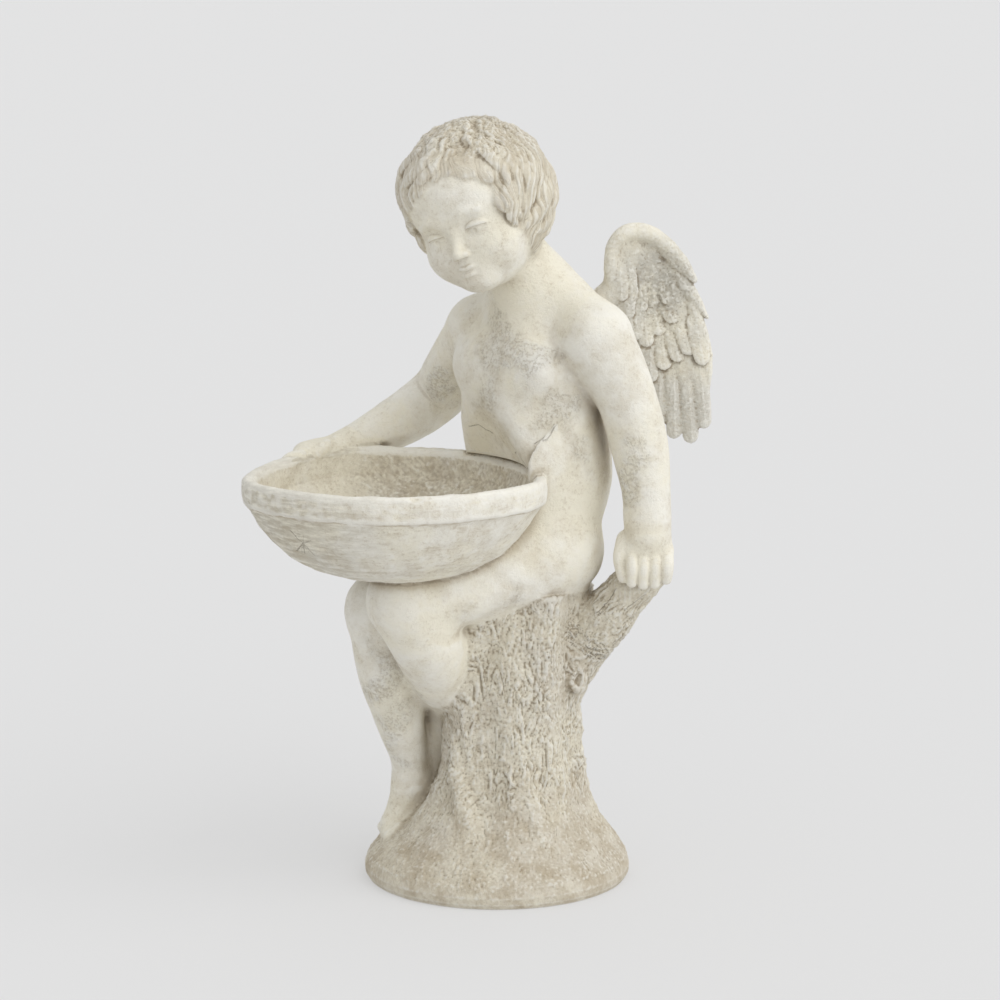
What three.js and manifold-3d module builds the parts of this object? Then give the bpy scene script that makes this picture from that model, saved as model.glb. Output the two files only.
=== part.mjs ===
// Cherub garden statue, cast in one piece: a winged child seated on a tree stump, a wide basin on its lap.
// Millimetres, +Z up, display front towards -Y, origin at the middle of the underside.
// The figure is a field of signed distances: rounded links and ellipsoids joined with soft fillets. It is
// polygonised, thinned out where it is smooth, joined with the turned basin and cut off flat at the ground.
import * as THREE from "three";
import { edgeTable, triTable } from "three/addons/objects/MarchingCubes.js";
import { mergeVertices } from "three/addons/utils/BufferGeometryUtils.js";
import Module from "manifold-3d";

// ---------------------------------------------------------------- driving dimensions
const CELL = 4; // edge of one cell of the polygonising grid
const TRIANGLES = 7900; // faces left in the figure after thinning out
const STUMP = { lean: 13, top: 298, underside: -20 };
const BOWL = { x: -100, y: -70, rim: 426 };
const LAP = 131; // how near the belly comes to the basin's axis just above the rim
const DEG = Math.PI / 180;
const FAR = 1e3; // a distance larger than any on the statue

const v = (x, y, z) => new THREE.Vector3(x, y, z);
const mix = (a, b, t) => a + (b - a) * t;
const clamp = (t, low, high) => Math.min(high, Math.max(low, t));

// A level direction turned by an angle in degrees from the display front (-Y) towards -X.
const facing = (degrees) => v(-Math.sin(degrees * DEG), -Math.cos(degrees * DEG), 0);
// ---------------------------------------------------------------- the field
// Each shape is { near: Box3 it can touch, distance(x, y, z), fillet, cut }.
const shapes = [];
const FILLET = 10;

function add(shape, fillet = FILLET, cut = false) {
  shapes.push({ ...shape, fillet, cut, near: shape.near.clone().expandByScalar(fillet + 2 * CELL) });
}

// An ellipsoid with its own left, front and up directions.
function ellipsoid(centre, [rl, rf, ru], frame) {
  const [l, f, u] = [frame.left, frame.front, frame.up];
  const reach = Math.max(rl, rf, ru);
  return {
    near: new THREE.Box3(centre.clone().subScalar(reach), centre.clone().addScalar(reach)),
    distance(x, y, z) {
      const dx = x - centre.x;
      const dy = y - centre.y;
      const dz = z - centre.z;
      const a = dx * l.x + dy * l.y + dz * l.z;
      const b = dx * f.x + dy * f.y + dz * f.z;
      const c = dx * u.x + dy * u.y + dz * u.z;
      const outer = Math.hypot(a / rl, b / rf, c / ru);
      const inner = Math.hypot(a / (rl * rl), b / (rf * rf), c / (ru * ru));
      return inner < 1e-9 ? -Math.min(rl, rf, ru) : (outer * (outer - 1)) / inner;
    },
  };
}

// A tapered link with round ends from a to b.
function link(a, b, ra, rb) {
  const d = b.clone().sub(a);
  const length2 = Math.max(d.lengthSq(), 1e-9);
  const reach = Math.max(ra, rb);
  return {
    near: new THREE.Box3().setFromPoints([a, b]).expandByScalar(reach),
    distance(x, y, z) {
      const px = x - a.x;
      const py = y - a.y;
      const pz = z - a.z;
      const t = clamp((px * d.x + py * d.y + pz * d.z) / length2, 0, 1);
      return Math.hypot(px - d.x * t, py - d.y * t, pz - d.z * t) - mix(ra, rb, t);
    },
  };
}

// A tapered flat link: half width w across, half thickness t along its normal n.
function strap(a, b, n, [wa, ta], [wb, tb]) {
  const d = b.clone().sub(a);
  const length = d.length();
  const along = d.clone().divideScalar(length);
  const normal = n.clone().addScaledVector(along, -n.dot(along)).normalize();
  const across = along.clone().cross(normal);
  return {
    near: new THREE.Box3().setFromPoints([a, b]).expandByScalar(Math.max(wa, wb)),
    distance(x, y, z) {
      const px = x - a.x;
      const py = y - a.y;
      const pz = z - a.z;
      const s = px * along.x + py * along.y + pz * along.z;
      const t = clamp(s / length, 0, 1);
      const w = mix(wa, wb, t);
      const h = mix(ta, tb, t);
      const e = s - t * length;
      const c = px * across.x + py * across.y + pz * across.z;
      const u = px * normal.x + py * normal.y + pz * normal.z;
      const outer = Math.hypot(e / w, c / w, u / h);
      const inner = Math.hypot(e / (w * w), c / (w * w), u / (h * h));
      return inner < 1e-9 ? -h : (outer * (outer - 1)) / inner;
    },
  };
}

// Points and radii of a smooth line through the joints, each joint given as [point, size, ...].
function smoothLine(joints, steps) {
  const pick = (i) => joints[clamp(i, 0, joints.length - 1)];
  const numbers = (joint) => [joint[0].x, joint[0].y, joint[0].z, ...joint[1]];
  const line = [];
  for (let i = 0; i + 1 < joints.length; i++)
    for (let j = 0; j < steps + (i + 2 === joints.length); j++) {
      const t = j / steps;
      const [a, b, c, d] = [i - 1, i, i + 1, i + 2].map((k) => numbers(pick(k)));
      const n = b.map((_, k) => {
        const [p, q, r, s] = [a[k], b[k], c[k], d[k]];
        return q + 0.5 * t * (r - p + t * (2 * p - 5 * q + 4 * r - s + t * (3 * (q - r) + s - p)));
      });
      line.push([v(n[0], n[1], n[2]), n.slice(3)]);
    }
  return line;
}

// Several shapes taken as one, so that they meet without a fillet between them.
function together(parts) {
  const near = new THREE.Box3();
  for (const part of parts) near.union(part.near);
  return {
    near,
    distance(x, y, z) {
      let d = FAR;
      for (const part of parts) d = Math.min(d, part.distance(x, y, z));
      return d;
    },
  };
}

// A limb of round section through joints [point, radius].
function limb(joints, fillet = FILLET) {
  const line = smoothLine(joints.map(([p, r]) => [p, [r]]), 5);
  const parts = line.slice(1).map((end, i) => link(line[i][0], end[0], line[i][1][0], end[1][0]));
  add(together(parts), fillet);
}

// A flat lock or feather through joints [point, half width, half thickness], lying with `out` across it.
function lock(joints, out, fillet = 2) {
  const line = smoothLine(joints.map(([p, w, t]) => [p, [w, t]]), 3);
  const parts = [];
  for (let i = 0; i + 1 < line.length; i++) {
    const [[start, size], [end, endSize]] = [line[i], line[i + 1]];
    parts.push(strap(start, end, out(start), size, endSize));
  }
  add(together(parts), fillet);
}

// Directions of a body part that faces `degrees` and may be pitched down and rolled to its left.
function frameOf(degrees, pitch = 0, roll = 0) {
  const level = facing(degrees);
  const side = v(-level.y, level.x, 0);
  const front = level.clone().multiplyScalar(Math.cos(pitch * DEG)).add(v(0, 0, -Math.sin(pitch * DEG)));
  const left = side.clone();
  const up = front.clone().cross(left);
  left.applyAxisAngle(front, -roll * DEG);
  up.applyAxisAngle(front, -roll * DEG);
  return { left, front, up };
}
// A point given in a body part's own directions, from its centre.
function at(centre, frame, left, front, up) {
  const spot = centre.clone().addScaledVector(frame.left, left);
  return spot.addScaledVector(frame.front, front).addScaledVector(frame.up, up);
}

// ---------------------------------------------------------------- body
const PELVIS = { centre: v(39, 12, 346), frame: frameOf(66) };
const BELLY = { centre: v(38, 14, 420), frame: frameOf(56) };
const CHEST = { centre: v(32, 14, 509), frame: frameOf(45) };
const HEAD = { centre: v(-18, -28, 683), frame: frameOf(27, 9, -20) };

function torso() {
  add(ellipsoid(PELVIS.centre, [76, 60, 56], PELVIS.frame), 20);
  add(ellipsoid(BELLY.centre, [80, 76, 78], BELLY.frame), 24);
  add(ellipsoid(v(35, 14, 461), [72, 62, 60], frameOf(50)), 24);
  add(ellipsoid(CHEST.centre, [74, 56, 80], CHEST.frame), 24);
  for (const side of [1, -1]) {
    add(ellipsoid(at(PELVIS.centre, PELVIS.frame, side * 28, -16, -8), [38, 39, 38], PELVIS.frame), 16);
    add(ellipsoid(at(CHEST.centre, CHEST.frame, side * 34, 38, 12), [31, 20, 26], CHEST.frame), 18);
    add(ellipsoid(at(CHEST.centre, CHEST.frame, side * 40, -36, 30), [30, 22, 36], CHEST.frame), 18);
  }
  limb([[v(41, 12, 596), 33], [v(69, -8, 584), 28], [v(98, -34, 559), 28]], 16);
  limb([[v(36, 16, 591), 33], [v(10, 36, 575), 26], [v(-17, 56, 554), 27]], 16);
  limb([[v(39, 12, 580), 43], [v(20, 2, 625), 34], [v(4, -8, 650), 34]], 20);
}

const LEFT_ARM = {
  shoulder: v(99, -36, 550), upper: v(126, -41, 499), elbow: v(140.5, -42, 446),
  fore: v(147, -47, 405), wrist: v(149, -52, 366),
};
const RIGHT_ARM = {
  shoulder: v(-19, 54, 551), elbow: v(-62, 124, 473), fore: v(-108, 106, 444), wrist: v(-156, 76, 428),
};

function leftArm() {
  const a = LEFT_ARM;
  limb([[a.shoulder, 36], [a.upper, 29.5], [a.elbow, 28.5], [a.fore, 24], [a.wrist, 23]], 14);
  add(ellipsoid(v(147, -52, 344), [29, 17, 25], frameOf(0)), 6);
  for (let i = 0; i < 4; i++) {
    const x = 132.5 + 12 * i;
    const tip = [309, 307, 308, 312][i];
    limb([[v(x, -60, 343), 7.5], [v(x, -67, 325), 6.8], [v(x - 0.5, -64, tip), 6]], 2.5);
  }
  limb([[v(124, -50, 356), 10], [v(118, -57, 334), 7.5], [v(121, -59, 314), 6.5]], 3);
}

function rightArm() {
  const a = RIGHT_ARM;
  limb([[a.shoulder, 31], [v(-42, 92, 512), 28.5], [a.elbow, 29.5], [a.fore, 25.5], [a.wrist, 15]], 14);
  add(strap(v(-156, 76, 430), v(-190, 54, 427), v(-0.3, -0.2, 1), [16, 11], [17, 9]), 6);
  for (let i = 0; i < 4; i++) {
    const root = v(-180 - 6 * i, 64 - 10 * i, 427 - i);
    const tip = v(-198 - 6 * i, 60 - 14 * i, 411 - i);
    limb([[root, 7], [root.clone().lerp(tip, 0.55).add(v(-3, 3, 5)), 6.5], [tip, 5.5]], 2.5);
  }
  limb([[v(-166, 64, 431), 8], [v(-176, 50, 430), 7], [v(-182, 42, 424), 6]], 3);
}

const LEFT_LEG = {
  hip: v(56, -20, 337), mid: v(0, -48, 322), knee: v(-88, -80, 299),
  calf: v(-67, -64, 252), shin: v(-60, -38, 206), ankle: v(-54, -8, 160), heel: v(-56, 6, 126),
};
const RIGHT_LEG = {
  hip: v(30, 36, 335), knee: v(-112, -18, 277), calf: v(-104, -12, 214),
  shin: v(-95, -4, 160), ankle: v(-88, 6, 121), heel: v(-87, 10, 92),
};

function legs() {
  const l = LEFT_LEG;
  const r = RIGHT_LEG;
  limb([[l.hip, 47], [l.mid, 42], [v(-62, -72, 304), 39], [l.knee, 39]], 14);
  limb([[l.knee, 39], [l.calf, 37], [l.shin, 27], [l.ankle, 20], [l.heel, 19]], 10);
  limb([[l.heel, 18], [v(-72, 4, 92), 15], [v(-80, 2, 76), 10]], 8);
  limb([[r.hip, 46], [r.knee, 39]], 14);
  limb([[r.knee, 38], [r.calf, 36.5], [r.shin, 27.5], [r.ankle, 21], [r.heel, 19]], 10);
  limb([[r.heel, 19], [v(-98, 8, 62), 15.5], [v(-109, 4, 50), 10]], 8);
  for (let i = 0; i < 5; i++) {
    const s = i - 2;
    const root = v(-104 + 2 * s, 4 - 7 * s, 52 - 2 * Math.abs(s));
    limb([[root, 6.5], [v(-113 + 2 * s, 3 - 7.5 * s, 42), 5.5]], 2.5);
  }
}

// ---------------------------------------------------------------- head, face and hair
function head() {
  const { centre, frame } = HEAD;
  const p = (l, f, u) => at(centre, frame, l, f, u);
  const bead = (spot, radii, fillet, cut) => add(ellipsoid(p(...spot), radii, frame), fillet, cut);
  bead([0, -6, 10], [63, 70, 64], 10);
  bead([0, 14, -24], [54, 50, 52], 16);
  bead([0, 40, 18], [46, 30, 32], 16);
  bead([0, 28, -48], [38, 34, 28], 14);
  bead([0, 48, -61], [19, 16, 15], 10);
  bead([0, 50, -47], [21, 13, 13], 8);
  for (const side of [1, -1]) {
    bead([side * 26, 35, -33], [26, 25, 23], 12);
    bead([side * 22, 71, -13], [14, 11, 8], 9, true);
    bead([side * 22, 51, -14.5], [12, 11, 9.5], 2);
    bead([side * 21, 62, 1], [13, 5, 4], 7);
    bead([side * 6.4, 64, -35], [4.4, 5.4, 4.2], 2.5);
  }
  limb([[p(0, 61, -9), 4.4], [p(0, 64, -22), 4.6], [p(0, 69, -33), 5.8]], 6);
  bead([0, 62, -47], [12, 5, 3.5], 3);
  bead([0, 61, -54], [10, 5, 3.5], 3);
}

// A point over the skull: `down` degrees from the crown, `round` degrees from the face towards its left.
function overSkull(down, round, lift) {
  const { centre, frame } = HEAD;
  const [lean, a, b] = [-22 * DEG, down * DEG, round * DEG];
  const across = Math.sin(a) * Math.sin(b);
  const ahead = Math.sin(a) * Math.cos(b);
  const above = Math.cos(a);
  const f = ahead * Math.cos(lean) + above * Math.sin(lean);
  const u = above * Math.cos(lean) - ahead * Math.sin(lean);
  return at(centre, frame, across * (68 + lift), -6 + f * (75 + lift), 8 + u * (71 + lift));
}

// How far down the hair reaches at each angle round the head.
function hairEnd(round) {
  const r = Math.abs(round);
  if (r < 38) return 74 - 5 * Math.cos(r * 6 * DEG);
  if (r < 75) return mix(76, 122, (r - 38) / 37);
  return mix(122, 138, clamp((r - 75) / 60, 0, 1));
}

function hair() {
  add(ellipsoid(at(HEAD.centre, HEAD.frame, 0, -18, 14), [70, 66, 67], HEAD.frame), 8);
  const rows = [[4, 46, 9, 12], [30, 74, 14, 12], [56, 104, 19, 11], [84, 140, 20, 10]];
  rows.forEach(([from, to, count, wide], row) => {
    for (let i = 0; i < count; i++) {
      const round0 = -180 + (360 * (i + 0.5 * (row % 2))) / count;
      const end = Math.min(to, hairEnd(round0));
      if (end - from < 16) continue;
      const sway = (i % 2 ? 1 : -1) * 5;
      const joints = [];
      for (let j = 0; j <= 4; j++) {
        const t = j / 4;
        const down = mix(from, end, t);
        const sweep = 16 * (t - 0.3) + sway * Math.sin(t * 5);
        const round = round0 + (0.7 * sweep) / Math.max(0.35, Math.sin(down * DEG));
        const lift = 1.5 + 3.5 * Math.sin(Math.PI * Math.min(1, 0.25 + t * 0.75)) + 0.6 * row;
        const width = wide * [0.7, 1, 1, 0.85, 0.4][j];
        joints.push([overSkull(down, round, lift), width, [4, 5.5, 6, 5.5, 3.5][j]]);
      }
      lock(joints, (p) => p.clone().sub(HEAD.centre), 2);
    }
  });
}

// ---------------------------------------------------------------- wings
const WING = { x: 110, y: 24, slope: 0.05 };

// A point of the wing: a across, h up, d towards the hollow side; side -1 gives the right wing.
function wingPoint(side, a, h, d) {
  const hollow = -15 * Math.exp(-(((a - 162) / 34) ** 2) - ((h - 575) / 58) ** 2);
  const q = v(a, WING.y + WING.slope * (a - WING.x) - d - hollow, h);
  if (side > 0) return q;
  const across = facing(38).cross(v(0, 0, -1));
  return q.addScaledVector(across, -2 * q.clone().sub(CHEST.centre).dot(across));
}

function wing(side) {
  const w = (a, h, d = 0) => wingPoint(side, a, h, d);
  const n = w(150, 500, 1).sub(w(150, 500, 0));
  // Shoulder blade end and the web behind the feathers.
  limb([[w(90, 552, -4), 20], [w(108, 586, -3), 15]], 16);
  const web = [
    [118, 596, 128, 628, 15], [140, 572, 148, 622, 18], [164, 535, 170, 606, 20], [190, 515, 187, 580, 16],
  ];
  for (const [a0, h0, a1, h1, wide] of web) add(strap(w(a0, h0), w(a1, h1), n, [wide, 6], [wide, 6]), 8);
  // The rolled leading edge.
  const roll = [
    [119, 588, 11], [119, 612, 12.5], [123, 632, 14], [136, 645, 14.5], [155, 637, 13.5], [174, 619, 12],
    [190, 597, 9], [202, 570, 7], [209, 543, 6], [211, 515, 5],
  ];
  limb(roll.map(([a, h, r]) => [w(a, h, 1), r]), 6);
  // Long feathers first, then shorter rows that lie over them on both faces like tiles.
  const rows = [
    { d: 0, wide: 9.5, thick: 5, list: [[128, 545, 124, 505], [139, 550, 137, 486], [151, 550, 150, 468],
      [163, 550, 163.5, 455], [174, 550, 178, 441], [186, 545, 193, 437], [198, 535, 206, 452]] },
    { d: 5, wide: 9.5, thick: 5, list: [[128, 582, 129, 530], [142, 584, 142, 514], [154, 580, 155, 503],
      [166, 575, 168, 511], [178, 572, 181, 518], [190, 562, 194, 522], [201, 552, 206, 508]] },
    { d: 9, wide: 9, thick: 4.5, list: [[126, 604, 128, 556], [138, 604, 142, 541], [151, 598, 157, 543],
      [164, 592, 171, 552], [177, 585, 184, 556]] },
    { d: 11, wide: 8, thick: 4, list: [[124, 622, 126, 586], [135, 622, 139, 576], [147, 619, 153, 574],
      [160, 612, 166, 580], [172, 604, 179, 576]] },
  ];
  const tilt = n.clone().add(w(151, 500).sub(w(150, 500)).multiplyScalar(0.3));
  for (const row of rows)
    for (const face of row.d ? [1, -1] : [1])
      for (const [a0, h0, a1, h1] of row.list) {
        const on = (t, d) => w(mix(a0, a1, t), mix(h0, h1, t), face * d);
        lock([[on(0, row.d * 0.6), row.wide * 0.9, row.thick], [on(0.5, row.d), row.wide, row.thick],
          [on(1, row.d), row.wide * 0.85, row.thick * 0.8]], () => tilt, 1.5);
      }
  for (const [a0, h0, a1, h1] of [[182, 612, 202, 570], [195, 586, 209, 547], [206, 556, 213, 515]])
    add(strap(w(a0, h0, -3), w(a1, h1, -5), n, [8, 6], [5, 5]), 2);
}

// ---------------------------------------------------------------- stump, mound and branch
// Height and radius down the side of the mound and the trunk.
const PROFILE = [
  [0, 131], [6, 134.5], [22, 129], [27, 122], [42, 110], [60, 96], [80, 83], [105, 74], [130, 70], [200, 68],
  [300, 63],
];

function stumpRadius(z) {
  let i = 0;
  while (i + 2 < PROFILE.length && PROFILE[i + 1][0] < z) i++;
  const [[z0, r0], [z1, r1]] = [PROFILE[i], PROFILE[i + 1]];
  return mix(r0, r1, clamp((z - z0) / (z1 - z0), 0, 1));
}

function stump() {
  add({
    near: new THREE.Box3(v(-145, -150, STUMP.underside - 10), v(150, 150, STUMP.top + 10)),
    distance(x, y, z) {
      const lean = STUMP.lean * clamp((z - 20) / 100, 0, 1) + 18 * clamp((z - 180) / 120, 0, 1);
      const px = x - lean;
      const py = y / 1.03;
      const ang = Math.atan2(py, px);
      const flutes = 3 * Math.sin(5 * ang + 1.3) + 2 * Math.sin(9 * ang + 0.02 * z);
      const ridge = flutes * clamp((z - 30) / 50, 0, 1);
      const wall = (Math.hypot(px, py) - stumpRadius(z) - ridge) * 0.75;
      return Math.max(wall, z - STUMP.top, STUMP.underside - z);
    },
  }, 8);
  limb([[v(62, -4, 208), 30], [v(144, -38, 316), 22]], 10);
}

// ---------------------------------------------------------------- the basin's rule
// Radius of the plan and drop of the rim at an angle round the basin: it was turned by eye and has worn.
const bump = (angle, centre, width) => {
  const off = Math.abs(((angle - centre + 540) % 360) - 180);
  return off < width ? 0.5 + 0.5 * Math.cos((Math.PI * off) / width) : 0;
};
const basinSpread = (angle) => 1 + 0.035 * (bump(angle, -155, 34) + bump(angle, -25, 34));
const basinLift = (angle) =>
  -4 * bump(angle, 165, 45) - 4 * bump(angle, 15, 65) + 2.5 * bump(angle, 110, 30);
// Radius and height above the rim, up the outside and down the inside of the basin.
const BASIN_OUT = [
  [0, -104], [38, -104], [60, -98], [85, -86], [108, -68], [128, -46], [143, -27], [147, -24], [148, -12],
  [147, -2], [144, 1],
];
const BASIN_IN = [[138, 0], [134, -5], [131, -26], [115, -50], [92, -68], [62, -82], [30, -89], [0, -90]];

// Radius of the basin's hollow at a height below the rim.
function hollowRadius(drop) {
  for (let i = 0; i + 1 < BASIN_IN.length; i++) {
    const [[r0, z0], [r1, z1]] = [BASIN_IN[i], BASIN_IN[i + 1]];
    if (drop <= z0 && drop >= z1) return mix(r0, r1, (drop - z0) / (z1 - z0 || 1));
  }
  return drop > 0 ? BASIN_IN[0][0] : -20;
}

function hollow() {
  add({
    near: new THREE.Box3(v(-250, -220, 325), v(50, 80, 560)),
    distance(x, y, z) {
      const up = z - BOWL.rim;
      const wide = up > 0 ? LAP - 0.55 * up : hollowRadius(up) + 5;
      return (Math.hypot(x - BOWL.x, y - BOWL.y) - wide) * 0.65;
    },
  }, 12, true);
}

// The fold of the belly that has broken away beside the basin's rim.
function fold() {
  const leaf = [
    [v(60, -58, 462), 4, 4], [v(52, -68, 440), 12, 7], [v(44, -74, 420), 13, 8], [v(46, -72, 404), 6, 5],
  ];
  lock(leaf, () => v(-0.5, -0.86, 0), 3);
  add(ellipsoid(v(24, -60, 432), [8, 12, 20], frameOf(30, 0, -20)), 4, true);
}

legs();
stump();
torso();
hollow();
fold();
head();
hair();
leftArm();
rightArm();
wing(1);
wing(-1);

// ---------------------------------------------------------------- polygonising
const smoothMin = (a, b, k) => {
  const h = Math.max(k - Math.abs(a - b), 0) / k;
  return Math.min(a, b) - h * h * k * 0.25;
};

function field(list, x, y, z) {
  let d = FAR;
  for (const s of list) {
    if (x < s.near.min.x || y < s.near.min.y || z < s.near.min.z ||
      x > s.near.max.x || y > s.near.max.y || z > s.near.max.z) continue;
    const e = s.distance(x, y, z);
    d = s.cut ? -smoothMin(-d, e, s.fillet) : smoothMin(d, e, s.fillet);
  }
  return d;
}

// Marching cubes over blocks of cells that some shape reaches.
function polygonise() {
  const all = new THREE.Box3();
  for (const s of shapes) if (!s.cut) all.union(s.near);
  const low = all.min;
  const [nx, ny, nz] = all.getSize(v(0, 0, 0)).divideScalar(CELL).ceil().addScalar(1).toArray();
  const index = (i, j, k) => i + nx * (j + ny * k);
  const values = new Float32Array(nx * ny * nz).fill(FAR);
  const BLOCK = 8;
  const fill = (bi, bj, bk) => {
    const box = new THREE.Box3(v(bi, bj, bk), v(bi + BLOCK, bj + BLOCK, bk + BLOCK));
    box.min.multiplyScalar(CELL).add(low);
    box.max.multiplyScalar(CELL).add(low);
    const list = shapes.filter((s) => s.near.intersectsBox(box));
    if (!list.length) return;
    for (let k = bk; k < Math.min(bk + BLOCK, nz); k++)
      for (let j = bj; j < Math.min(bj + BLOCK, ny); j++)
        for (let i = bi; i < Math.min(bi + BLOCK, nx); i++) {
          const d = field(list, low.x + i * CELL, low.y + j * CELL, low.z + k * CELL);
          values[index(i, j, k)] = Math.abs(d) < 1e-3 ? 1e-3 : d;
        }
  };
  for (let k = 0; k < nz; k += BLOCK)
    for (let j = 0; j < ny; j += BLOCK)
      for (let i = 0; i < nx; i += BLOCK) fill(i, j, k);
  const corner = [[0, 0, 0], [1, 0, 0], [1, 1, 0], [0, 1, 0], [0, 0, 1], [1, 0, 1], [1, 1, 1], [0, 1, 1]];
  const edge = [
    [0, 1], [1, 2], [2, 3], [3, 0], [4, 5], [5, 6], [6, 7], [7, 4], [0, 4], [1, 5], [2, 6], [3, 7],
  ];
  const points = [];
  const faces = [];
  const seen = new Map();
  const cube = (i, j, k) => {
    let bits = 0;
    for (let c = 0; c < 8; c++)
      if (values[index(i + corner[c][0], j + corner[c][1], k + corner[c][2])] < 0) bits |= 1 << c;
    if (!edgeTable[bits]) return;
    const vertex = (e) => {
      const [a, b] = edge[e].map((c) => corner[c]);
      const ia = index(i + a[0], j + a[1], k + a[2]);
      const ib = index(i + b[0], j + b[1], k + b[2]);
      const key = Math.min(ia, ib) * 3 + (a[0] !== b[0] ? 0 : a[1] !== b[1] ? 1 : 2);
      if (seen.has(key)) return seen.get(key);
      const t = values[ia] / (values[ia] - values[ib]);
      points.push(
        low.x + (i + mix(a[0], b[0], t)) * CELL, low.y + (j + mix(a[1], b[1], t)) * CELL,
        low.z + (k + mix(a[2], b[2], t)) * CELL);
      seen.set(key, points.length / 3 - 1);
      return points.length / 3 - 1;
    };
    for (let t = 16 * bits; triTable[t] !== -1; t += 3)
      faces.push(vertex(triTable[t]), vertex(triTable[t + 2]), vertex(triTable[t + 1]));
  };
  for (let k = 0; k + 1 < nz; k++)
    for (let j = 0; j + 1 < ny; j++)
      for (let i = 0; i + 1 < nx; i++) cube(i, j, k);
  return { points, faces };
}

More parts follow.
